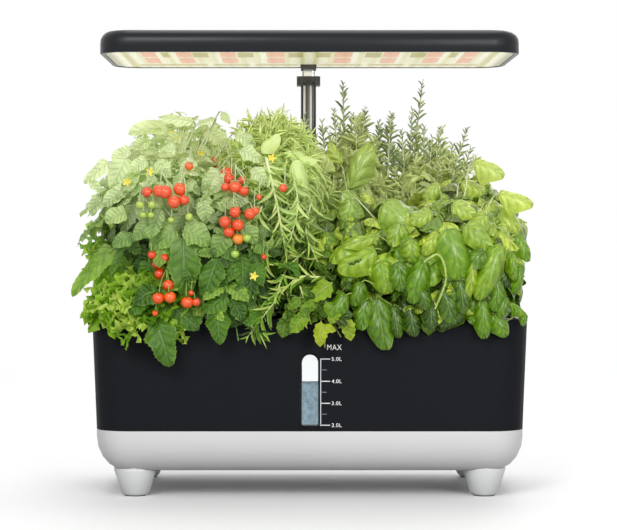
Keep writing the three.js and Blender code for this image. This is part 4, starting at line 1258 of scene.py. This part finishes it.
def feature(plant, form, row, broad=1.0):
    """One leaf that the photograph shows, from the pixels of its base and its tip."""
    base_across, base_down, tip_across, tip_down, width, tone = row[:6]
    lean = row[6] if len(row) > 6 else 0.0
    deep = skin((base_across + tip_across) / 2, (base_down + tip_down) / 2) - FEATURE_PROUD
    deep = max(before_wall(deep, max(base_down, tip_down), above_rim=0.004, room=0.009), FEATURE_LIMIT)
    start = photo(base_across, base_down, deep)
    along = photo(tip_across, tip_down, deep) - start
    facing = TO_EYE + UP * 0.5 + Vector((lean, 0, 0))
    plant.leaf(FORMS[form], start, along, facing, along.length, width * broad * pixel_size(deep), tone,
               checked=False)
    home = start.lerp(plant.centre, 0.3)
    home.z = min(home.z, start.z - 0.008)
    stalk = curve_to(start, TO_EYE * -0.8 - along.normalized() * 0.5, home, home - start, 6)
    plant.stem(stalk, thick=0.0005, thin=0.0008)


# Leaves, in photograph pixels: base across and down, tip across and down, width, tone, lean
TOMATO_LEAVES = (
    (183, 238, 186, 297, 32, 0.35), (218, 259, 204, 299, 25, 0.3), (155, 319, 169, 367, 30, 0.32, 0.1),
    (217, 308, 220, 345, 24, 0.36), (158, 290, 134, 303, 25, 0.18), (169, 304, 199, 330, 27, 0.25),
    (117, 245, 131, 295, 36, 0.72, -0.2), (112, 246, 72, 297, 24, 0.7, -0.3),
    (175, 229, 150, 250, 26, 0.62, -0.2),
    (183, 231, 211, 245, 22, 0.66, 0.2), (228, 231, 214, 257, 21, 0.55), (227, 295, 204, 313, 22, 0.4),
    (218, 169, 203, 194, 22, 0.5), (186, 223, 210, 238, 18, 0.6), (203, 202, 206, 223, 15, 0.55),
    (160, 209, 152, 235, 15, 0.5), (150, 221, 133, 240, 20, 0.55), (134, 236, 112, 246, 18, 0.5),
    (228, 178, 212, 192, 16, 0.45), (196, 205, 214, 214, 14, 0.6), (246, 195, 236, 208, 13, 0.5),
    (243, 225, 256, 244, 17, 0.62), (220, 240, 236, 262, 18, 0.4), (236, 262, 222, 284, 18, 0.3),
    (168, 250, 176, 272, 16, 0.35), (196, 262, 186, 284, 15, 0.3), (150, 262, 142, 284, 18, 0.4),
    (240, 284, 246, 306, 16, 0.25), (232, 300, 244, 322, 15, 0.2), (200, 312, 186, 330, 17, 0.3),
    (142, 300, 128, 316, 18, 0.3), (256, 262, 262, 286, 16, 0.45), (212, 282, 226, 298, 17, 0.3),
)
TOMATO_TOP_LEAVES = (
    (127, 158, 112, 190, 27, 0.7, -0.2), (109, 162, 84, 184, 17, 0.55, -0.3), (88, 178, 101, 194, 9, 0.5),
    (174, 127, 128, 134, 20, 0.75), (193, 121, 158, 117, 13, 0.9), (150, 140, 131, 151, 15, 0.7),
    (130, 150, 112, 160, 14, 0.7), (158, 160, 170, 178, 16, 0.75), (126, 213, 105, 222, 21, 0.9, -0.1),
    (222, 112, 230, 124, 9, 0.3), (214, 118, 196, 125, 8, 0.3), (186, 134, 164, 146, 16, 0.8),
    (206, 130, 226, 146, 17, 0.75), (236, 134, 256, 146, 14, 0.7), (176, 148, 158, 154, 13, 0.75),
    (240, 150, 262, 162, 16, 0.65), (208, 148, 194, 160, 15, 0.7), (146, 160, 132, 172, 16, 0.65),
    (194, 160, 182, 176, 15, 0.6), (252, 168, 268, 186, 15, 0.6), (98, 196, 92, 216, 13, 0.35),
    (124, 190, 104, 206, 18, 0.5),
)
BASIL_LEAVES = (
    (448, 229, 459, 280, 36, 0.5, 0.1), (424, 260, 410, 303, 27, 0.42), (501, 245, 477, 300, 25, 0.6, 0.2),
    (474, 264, 466, 301, 12, 0.75), (381, 261, 388, 294, 28, 0.6, -0.1), (482, 297, 484, 339, 20, 0.5),
    (494, 314, 506, 337, 18, 0.55), (376, 298, 385, 350, 25, 0.4), (409, 307, 415, 337, 18, 0.25),
    (443, 289, 453, 324, 21, 0.3), (519, 235, 528, 262, 17, 0.5, 0.5), (511, 251, 514, 281, 14, 0.55, 0.3),
    (522, 265, 515, 294, 13, 0.5, 0.4), (488, 202, 520, 231, 27, 0.85, 0.2),
    (499, 194, 533, 206, 21, 0.9, 0.2), (474, 162, 504, 177, 22, 0.85),
    (384, 203, 413, 233, 36, 0.55, -0.1), (466, 224, 489, 249, 22, 0.62), (438, 232, 423, 255, 18, 0.8),
    (411, 239, 412, 263, 22, 0.6), (375, 249, 338, 272, 28, 0.66, -0.1), (376, 236, 344, 247, 13, 0.7),
    (346, 295, 328, 317, 17, 0.5), (352, 199, 344, 222, 17, 0.55), (398, 262, 402, 292, 19, 0.35),
    (362, 282, 352, 306, 17, 0.4), (432, 212, 410, 222, 20, 0.7), (452, 204, 474, 216, 18, 0.75),
    (486, 214, 470, 232, 18, 0.7), (460, 280, 464, 314, 18, 0.28), (498, 280, 494, 312, 16, 0.45),
    (430, 300, 432, 330, 17, 0.2), (394, 306, 398, 338, 18, 0.3), (366, 300, 360, 330, 17, 0.45),
    (506, 216, 522, 240, 18, 0.65, 0.3), (440, 184, 424, 200, 18, 0.75), (462, 182, 484, 194, 18, 0.85),
    (506, 296, 498, 322, 15, 0.45), (418, 284, 428, 310, 18, 0.3), (484, 250, 470, 268, 18, 0.35),
    (352, 256, 346, 282, 16, 0.45), (402, 224, 390, 246, 18, 0.6), (510, 303, 527, 318, 10, 0.6, 0.3),
    (526, 314, 522, 326, 8, 0.6, 0.3),
)
# Ruffled leaves at the lower left: across, down, length, tone
LETTUCE_LEAVES = (
    (104, 219, 15, 0.7), (99, 226, 14, 0.5), (94, 236, 16, 0.8), (101, 238, 15, 0.6), (90, 246, 13, 0.5),
    (96, 250, 17, 0.9), (92, 262, 14, 0.7), (104, 254, 15, 0.5), (112, 266, 16, 0.7), (106, 276, 18, 0.9),
    (98, 284, 17, 1.0), (116, 284, 17, 0.8), (104, 294, 18, 1.0), (122, 296, 16, 0.8), (112, 304, 18, 1.1),
    (100, 306, 15, 0.9), (126, 308, 17, 1.0), (118, 314, 17, 0.9), (132, 318, 16, 0.9), (110, 316, 14, 0.7),
    (124, 326, 16, 1.0), (136, 330, 15, 0.8), (118, 334, 14, 0.7), (128, 338, 13, 0.6), (176, 326, 12, 0.8),
    (181, 333, 13, 0.9), (174, 338, 12, 0.7), (140, 322, 14, 0.9),
)
MINT_LEAVES = (
    (331, 283, 310, 301, 20, 0.6), (306, 314, 291, 333, 17, 0.55), (321, 322, 320, 347, 14, 0.9),
    (321, 326, 336, 331, 10, 0.9), (346, 318, 351, 341, 14, 0.7), (338, 308, 330, 324, 13, 0.6),
    (314, 302, 300, 316, 13, 0.4), (286, 318, 282, 338, 15, 0.25), (326, 302, 336, 316, 12, 0.5),
    (300, 298, 288, 310, 12, 0.35),
)
# A bare stalk that hangs in front of the basil, in pixels
BASIL_STALK = ((424, 262), (439, 255), (446, 279), (435, 309))
STALK_DEPTH = -0.1215
MIDDLE_BASIL_LEAVES = ((349, 190, 371, 144, 24, 0.55), (341, 164, 329, 143, 12, 0.8))
LIGHT_LEAVES = ((296, 160, 302, 198, 21, 0.55), (288, 152, 316, 164, 14, 0.8),
                (262, 152, 280, 136, 16, 0.85), (320, 152, 334, 172, 13, 0.8))
# Tomatoes: across, down, width in pixels, ripeness
TOMATOES = (
    (147, 192, 11, 0.95), (159, 191, 13, 0.9), (165, 192, 14, 0.92), (180, 189, 13.5, 0.85),
    (174, 202, 13.5, 0.88), (184, 200, 11, 0.9), (216, 162, 12, 0.9), (189, 166, 9, 0.78),
    (227, 173, 12.5, 0.92), (229, 179, 12, 0.95), (235, 187, 13.5, 0.92), (225, 187, 9, 0.95),
    (244, 191, 10.5, 0.95), (242, 180, 8, 0.95), (235, 212, 12, 0.92), (250, 214, 12, 0.9),
    (255, 211, 9, 0.85), (225, 222, 12.5, 0.95), (238, 225, 12.5, 0.88), (229, 232, 11.5, 0.92),
    (238, 239, 11.5, 0.55), (152, 255, 9, 1.0), (164, 258, 9.5, 1.0), (157, 264, 10.5, 0.95),
    (160, 274, 12, 0.95), (168, 285, 11.5, 0.85), (158, 298, 12.5, 0.85), (170, 297, 12.5, 0.75),
    (187, 302, 13, 0.82), (196, 302, 9, 0.88), (191, 293, 6, 0.9), (155, 313, 6.5, 0.85),
    (264, 257, 6, 1.0), (283, 188, 9, 0.85), (259, 197, 6, 0.9), (140, 205, 9, 0.15), (152, 205, 8.5, 0.1),
    (143, 215, 7.5, 0.1), (151, 215, 7.5, 0.15), (189, 217, 8.5, 0.2), (171, 220, 7, 0.15),
    (235, 254, 9, 0.1), (247, 238, 9, 0.1),
)
FLOWERS = ((173, 134), (178, 140), (150, 172), (127, 182), (254, 276), (201, 154), (272, 158))
ROSEMARY_TIPS = ((343, 82, 344, 128), (365, 110, 360, 146), (422, 86, 414, 150), (391, 116, 388, 152),
                 (424, 128, 424, 160), (439, 130, 443, 166), (466, 132, 452, 168), (267, 129, 268, 156),
                 (315, 138, 318, 168), (352, 116, 350, 150), (334, 112, 338, 146), (305, 118, 306, 150),
                 (322, 124, 326, 154), (379, 124, 376, 156), (402, 132, 404, 160), (412, 112, 410, 150),
                 (452, 146, 448, 172), (432, 140, 428, 168), (356, 130, 358, 160), (290, 128, 292, 156),
                 (470, 150, 458, 176), (386, 132, 396, 164), (280, 120, 276, 150))
SAVORY_STEMS = (((266, 158), (276, 200), (284, 242), (288, 266)), ((235, 318), (252, 327), (262, 337)),
                ((325, 278), (300, 277), (288, 286), (268, 300)), ((276, 300), (262, 318), (250, 334)),
                ((292, 170), (298, 206), (290, 240)), ((312, 200), (306, 232), (318, 262)),
                ((268, 250), (256, 282), (246, 306)), ((306, 250), (286, 270), (276, 296)),
                ((262, 206), (254, 234), (262, 262)), ((300, 286), (304, 306), (292, 322)))


# Fruit lower in the photograph than this hangs on the front plant
FRONT_FRUIT_BELOW = 206
FRUIT_PROUD = 0.017
# Fruit within a square of this many pixels hangs on one truss, this far from the first fruit's top
TRUSS_PIXELS = 24
TRUSS_HUB = Vector((0, 0.012, 0.013))
# A sphere's faces come in another order each run; no two lie level along this way
FRUIT_ORDER = Vector((1, 10, 100))
SEPALS = 5
PETALS = 5
FLOWER_PROUD = 0.005


def tomatoes(plants):
    """Fruit on thin stalks, hung from the leaf mass in trusses."""
    ball = bmesh.new()
    ball.loops.layers.uv.new("UVMap")
    ball.verts.layers.float.new("tone")
    bmesh.ops.create_uvsphere(ball, u_segments=14, v_segments=9, radius=0.5)
    for vert in ball.verts:
        flat = math.hypot(vert.co.x, vert.co.y)
        if vert.co.z > 0:
            vert.co.z *= 0.94 - 0.35 * max(0.0, 0.16 - flat)
    ball.faces.sort(key=lambda face: face.calc_center_median().dot(FRUIT_ORDER))
    fruit = bpy.data.meshes.new("tomato")
    ball.to_mesh(fruit)
    ball.free()
    hubs = {}
    for across, down, wide, ripe in TOMATOES:
        plant = plants["tomato_front" if down > FRONT_FRUIT_BELOW else "tomato_left"]
        deep = before_wall(skin(across, down) - FRUIT_PROUD, down, above_rim=0.01, room=0.007)
        deep = max(deep, FRUIT_LIMIT)
        at = photo(across, down, deep)
        lean = (Matrix.Rotation(plant.draw.uniform(-0.5, 0.5), 4, "X")
                @ Matrix.Rotation(plant.draw.uniform(-0.5, 0.5), 4, "Y"))
        size = wide * pixel_size(deep)
        plant.join(fruit, Matrix.Translation(at) @ lean @ Matrix.Scale(size, 4), ripe, FRUIT)
        crown = at + lean.to_3x3() @ UP * size * 0.45
        for k in range(SEPALS):
            turn = k * TAU / SEPALS + plant.draw.uniform(-0.3, 0.3)
            out = Vector((math.cos(turn), math.sin(turn), -0.25))
            plant.leaf(FORMS["needle"], crown, out, UP, size * 0.45, size * 0.14, MIDDLE_TONE, checked=False)
        truss = (plant.name, round(across / TRUSS_PIXELS), round(down / TRUSS_PIXELS))
        hub = hubs.setdefault(truss, crown + TRUSS_HUB)
        stalk = curve_to(crown, UP, hub, Vector((0, 0.6, 0.6)), 6)
        plant.stem(stalk, thick=0.0004, thin=0.0006)


def flowers(plant):
    """Five-petalled yellow flowers that face the front."""
    for across, down in FLOWERS:
        at = photo(across, down, skin(across, down) - FLOWER_PROUD)
        for k in range(PETALS):
            turn = k * TAU / PETALS
            out = Vector((math.cos(turn), -0.4, math.sin(turn)))
            plant.leaf(FORMS["narrow"], at, out, TO_EYE, length=0.0042, width=0.0022, tone=MIDDLE_TONE,
                       finish=PETAL, checked=False)


# Shoots start above this height in the crown, from -1 at its foot to 1 at its top
CROWN_FOOT = -0.95


def grow_tomato(name, leaves, table, size, finishes):
    """Compound leaves on stalks over two dark inner layers, whose darkness is painted shade, and the leaves
    of the table.
    """
    plant = Plant(name, "tomato_leaf", finishes)
    draw = plant.draw
    plant.trunk(thick=0.0024)
    # The innermost layer's dark tones are painted shade
    plant.shingles("tomato", 170, size=0.030, width=0.7, depth=0.72, tone=(-0.2, 0.0), buried=0.5)
    plant.shingles("tomato", 120, size=0.025, width=0.66, depth=0.88, tone=(0.0, 0.5), lean=0.25)
    plant.shingles("tomato", 520, size=0.013, width=0.6, depth=1.0, tone=(0.0, 1.0), lean=0.5, turn=2.6,
                   lowest=0.2)
    for point, facing in plant.crown_points(leaves, CROWN_FOOT):
        start = plant.toward(point, draw.uniform(0.35, 0.55))
        way = (facing + UP * draw.uniform(0.1, 0.6)
               + Vector((draw.uniform(-1, 1), draw.uniform(-1, 1), 0)) * 0.5)
        end = point + facing * draw.uniform(-0.006, 0.003) - UP * draw.uniform(0.0, 0.012)
        path = curve_to(start, way, end, facing - UP * draw.uniform(0.5, 1.3))
        compound(plant, path, facing + UP * 0.5, size * draw.uniform(0.8, 1.15), draw.uniform(0.2, 0.85))
    for row in table:
        feature(plant, "tomato_large", row)
    return plant


def bent_path(points):
    """A smooth path through a few points."""
    path = []
    for i, (a, b) in enumerate(zip(points, points[1:])):
        before = points[i - 1] if i else a
        after = points[i + 2] if i + 2 < len(points) else b
        path += interpolate_bezier(a, a + (b - before) / 6, b - (after - a) / 6, b, 7)[:-1]
    return path + [points[-1]]


def grow_basil(name, shoots, size, finishes, table=(), stalk=()):
    """Shoots with crossed pairs of cupped leaves, and the leaves of the table."""
    plant = Plant(name, "basil_leaf", finishes)
    plant.trunk(thick=0.0022)
    # The innermost layer's dark tones are painted shade
    plant.shingles("basil", 130, size=0.032, width=0.8, depth=0.70, tone=(-0.2, 0.0), buried=0.5)
    plant.shingles("basil", 110, size=0.028, width=0.9, depth=0.92, tone=(0.0, 1.0), lean=0.3)
    for point, facing in plant.crown_points(shoots, CROWN_FOOT):
        start = plant.toward(point, 0.4)
        path = curve_to(start, facing + UP * 0.5, point - facing * 0.006, facing + UP * 0.6)
        plant.stem(path, thick=0.0011, thin=0.0008)
        whorls(plant, path, "basil", size, width=0.9, spread=math.radians(78), spacing=0.011, count=2,
               twist=math.pi / 2, droop=0.45, bare=0.45, tip=0.45, tone=(0.1, 1.05), face_up=0.6)
    for row in table:
        feature(plant, "basil_large", row, broad=1.2)
    if stalk:
        path = bent_path([photo(across, down, STALK_DEPTH) for across, down in stalk])
        plant.stem(path, thick=0.0011, thin=0.0009)
    return plant


def grow_lettuce(finishes):
    """Ruffled leaves all over the crown, and more at the pixels of the table."""
    plant = Plant("lettuce", "lettuce_leaf", finishes)
    draw = plant.draw
    plant.trunk(thick=0.003)
    # The innermost layer's dark tones are painted shade
    plant.shingles("basil", 70, size=0.030, width=0.8, depth=0.6, tone=(-0.25, 0.0), buried=0.5)
    for point, facing in plant.crown_points(460, CROWN_FOOT, buried=0.8):
        start = plant.toward(point, draw.uniform(0.72, 0.92))
        along = facing + Vector((draw.uniform(-1, 1), draw.uniform(-1, 1), draw.uniform(-0.8, 1))) * 0.6
        roll = Vector((draw.uniform(-1, 1), draw.uniform(-1, 1), draw.uniform(-0.4, 1)))
        size = draw.uniform(0.008, 0.0135)
        plant.leaf(FORMS["lettuce"], start, along, roll, size, size * 1.1, draw.uniform(0.1, 1.0))
    for across, down, long, tone in LETTUCE_LEAVES:
        deep = before_wall(skin(across, down), down, above_rim=0.014, room=0.006)
        deep = max(deep - LETTUCE_PROUD, FEATURE_LIMIT)
        size = long * pixel_size(deep)
        for _ in range(2):
            along = TO_EYE + Vector((draw.uniform(-1.2, 0.8), 0, draw.uniform(-1.0, 1.0)))
            roll = Vector((draw.uniform(-1, 1), draw.uniform(-0.3, 0.3), draw.uniform(-1, 1)))
            start = photo(across, down, deep) - along.normalized() * size * 0.4
            plant.leaf(FORMS["lettuce"], start, along, roll, size * 0.8, size * 0.9,
                       tone + draw.uniform(-0.15, 0.15), checked=False)
    return plant


def grow_mint(finishes):
    """Shoots with crossed pairs of toothed leaves."""
    plant = Plant("mint", "mint_leaf", finishes)
    plant.trunk(thick=0.0018)
    # The innermost layer's dark tones are painted shade
    plant.shingles("mint", 70, size=0.028, width=0.8, depth=0.62, tone=(-0.3, -0.1), buried=0.5)
    for point, facing in plant.crown_points(40, CROWN_FOOT):
        path = curve_to(plant.toward(point, 0.35), facing + UP * 0.5, point, facing + UP * 0.2)
        plant.stem(path, *STALK)
        whorls(plant, path, "mint", 0.017, width=0.7, spread=math.radians(70), spacing=0.008, count=2,
               twist=math.pi / 2, droop=0.35, bare=0.3, tip=0.5, tone=(-0.1, 0.35))
    for row in MINT_LEAVES:
        feature(plant, "mint", row)
    return plant


def grow_savory(finishes):
    """Thin shoots with long narrow leaves, and the hanging stems that the photograph shows."""
    plant = Plant("savory", "herb_leaf", finishes)
    draw = plant.draw
    plant.trunk(thick=0.0022)
    # The inner layer's darker tones are painted shade
    plant.shingles("narrow", 420, size=0.030, width=0.3, depth=0.70, tone=(-0.1, 0.15), lean=0.3, turn=1.5,
                   buried=0.5)
    plant.shingles("narrow", 900, size=0.022, width=0.07, depth=0.92, tone=(0.1, 1.1), lean=0.5, turn=2.2,
                   buried=0.7)
    for point, facing in plant.crown_points(120, CROWN_FOOT, buried=0.8):
        way = facing + Vector((draw.uniform(-1, 1), 0, draw.uniform(-1.2, 0.5)))
        path = curve_to(plant.toward(point, 0.3), facing + UP * 0.4, point + facing * 0.003, way)
        plant.stem(path, *STALK)
        whorls(plant, path, "narrow", 0.019, width=0.07, spread=math.radians(54), spacing=0.0042, count=3,
               twist=2.4, bare=0.3, tip=0.5, tone=(0.1, 1.1))
    for pixels in SAVORY_STEMS:
        points = []
        for across, down in pixels:
            deep = before_wall(skin(across, down) - STEM_PROUD, down, above_rim=0.006, room=0.006)
            points.append(photo(across, down, max(deep, STEM_LIMIT)))
        path = bent_path(points)
        plant.stem(path, thick=0.0013 if len(pixels) == 4 else 0.0007, thin=0.0005)
        whorls(plant, path, "narrow", 0.0165, width=0.065, spread=math.radians(46), spacing=0.0042, count=2,
               twist=2.1, tip=0.6, tone=(0.1, 1.1), checked=False)
    for row in LIGHT_LEAVES:
        feature(plant, "basil_large", row)
    return plant


# Bare share of a rosemary stem, from its start: in the trunk, in a sprig and in a tall tip
TRUNK_BARE = 0.35
SPRIG_BARE = 0.12
TIP_BARE = 0.0


def grow_rosemary(name, sprigs, finishes):
    """Sprigs of needles clear of the post, and the tall tips that the photograph shows."""
    plant = Plant(name, "rosemary_leaf", finishes)
    draw = plant.draw
    # The inner layer's darker tones are painted shade
    plant.shingles("narrow", 420, size=0.028, width=0.22, depth=0.72, tone=(0.05, 0.35), lean=0.4, turn=1.5,
                   buried=0.5)
    paths = [(path, TRUNK_BARE) for path in plant.trunk(thick=0.0022)]
    for point, facing in plant.crown_points(sprigs, CROWN_FOOT, buried=0.8):
        end = point + facing * 0.002 + UP * draw.uniform(-0.008, 0.008)
        way = facing * 0.7 + UP * 0.8 + Vector((draw.uniform(-1, 1), draw.uniform(-1, 1), 0)) * 0.35
        path = curve_to(plant.toward(point, 0.4), facing + UP * 0.9, end, way)
        if all(is_clear(spot) for spot in path):
            paths.append((path, SPRIG_BARE))
    low, high = plant.centre.x - plant.reach.x, plant.centre.x + plant.reach.x
    for across, down, foot_across, foot_down in ROSEMARY_TIPS:
        deep = plant.centre.y - draw.uniform(-0.01, 0.03)
        if abs(photo(across, down, deep).x) < POST_ROOM:
            deep = min(deep, POST_BACK - POST_ROOM)
        tip = photo(across, down, deep)
        if low < tip.x < high:
            foot = photo(foot_across, foot_down, deep)
            paths.append((curve_to(foot - UP * 0.02, UP, tip, (tip - foot) + UP * 0.02), TIP_BARE))
    for path, bare in paths:
        tall = bare == TIP_BARE
        if bare != TRUNK_BARE:
            plant.stem(path, *STALK)
        long = 0.0095 if tall else draw.uniform(0.012, 0.017)
        whorls(plant, path, "needle", long, width=0.095, spread=math.radians(48 if tall else 56),
               spacing=0.0050, count=3, twist=1.1, bare=bare, tip=0.5, tone=(-0.1, 1.3),
               finish=TALL_TIP if tall else LEAF, face_up=0.2)
    return plant


camera()
sky()
studio_floor()
lamps()
dress_hardware()
smooth_shells()
scale_lines()
gauge_water()

FORMS = leaf_forms()
SPONGE = sponge_finish()
# Leaf finishes: pale and share give each one's painted lamp light
TOMATO = [
    leaf_finish("tomato_leaf", ("#10260a", "#345f18", "#6ea330", "#cbea66"), "#a2c67c", veins=6, slant=1.6,
                roughness=0.42, coat=0.08, relief=1.3, pale="#f1ffc6", share=1.0, rib=0.45, quilt_and_painted_shading=0.45,
                through=0.4),
    stem_finish("tomato_stem", "#5c8030", "#93b056", share=0.5), tomato_skin(), petal_finish(), SPONGE]
BASIL = [
    leaf_finish("basil_leaf", ("#0b2202", "#264f03", "#6fa30c", "#d8ec50"), "#b0d650", veins=5, slant=1.6,
                roughness=0.29, coat=0.5, relief=1.0, pale="#e2f09a", share=0.45, quilt_and_painted_shading=0.9, rib=0.3,
                through=0.22),
    stem_finish("basil_stem", "#7f9f3a", "#b9cc68"), SPONGE]
LETTUCE = [
    leaf_finish("lettuce_leaf", ("#234704", "#53920c", "#9cd028", "#dcf274"), "#d2e67c", veins=7, slant=0.8,
                roughness=0.45, coat=0.1, relief=0.7, quilt_and_painted_shading=0.3, through=0.4),
    stem_finish("lettuce_stem", "#a9c264", "#dbe6b0"), SPONGE]
MINT = [
    leaf_finish("mint_leaf", ("#122a06", "#2b5a0c", "#76a31c", "#cbd834"), "#cdd878", veins=5, slant=1.2,
                roughness=0.45, coat=0.08, relief=0.6, quilt_and_painted_shading=0.5),
    stem_finish("mint_stem", "#86984a", "#c5cf86"), SPONGE]
SAVORY = [
    leaf_finish("savory_leaf", ("#0b2003", "#30620e", "#9dd240", "#effb90"), "#dde8a8", veins=4, slant=1.0,
                roughness=0.5, coat=0.03, relief=0.3, pale="#f0fdb4", share=0.95, through=0.4),
    stem_finish("savory_stem", "#a9bc5a", "#dfe3a4"), SPONGE]
ROSEMARY = [
    leaf_finish("rosemary_leaf", ("#3d6420", "#80a746", "#cbe57a", "#f8fed2"), "#d3ddab", veins=3, slant=1.0,
                roughness=0.55, coat=0.0, relief=0.25, pale="#f7fec6", share=0.9, rib=0.1, through=0.4),
    stem_finish("rosemary_stem", "#7b7a52", "#b6b384"), SPONGE,
    leaf_finish("rosemary_tip", ("#2c4628", "#4f6d45", "#94b17a", "#cddca6"), "#b3c49a", veins=3, slant=1.0,
                roughness=0.55, coat=0.0, relief=0.25, pale="#dbe8b0", share=0.42, rib=0.1, through=0.3)]

front = grow_tomato("tomato_front", 44, TOMATO_LEAVES, 0.023, TOMATO)
left = grow_tomato("tomato_left", 62, TOMATO_TOP_LEAVES, 0.021, TOMATO)
tomatoes({"tomato_front": front, "tomato_left": left})
flowers(left)
rest = [
    grow_tomato("tomato_rear", 56, (), 0.022, TOMATO),
    grow_basil("basil_front", 60, 0.028, BASIL, BASIL_LEAVES, BASIL_STALK),
    grow_basil("basil_middle", 44, 0.026, BASIL, MIDDLE_BASIL_LEAVES),
    grow_basil("basil_right", 44, 0.027, BASIL),
    grow_lettuce(LETTUCE),
    grow_mint(MINT),
    grow_savory(SAVORY),
    grow_rosemary("rosemary_left", 60, ROSEMARY),
    grow_rosemary("rosemary_centre", 60, ROSEMARY),
    grow_rosemary("rosemary_right", 74, ROSEMARY),
]
for plant in [front, left] + rest:
    plant.done()

bpy.context.scene.view_settings.view_transform = "Standard"
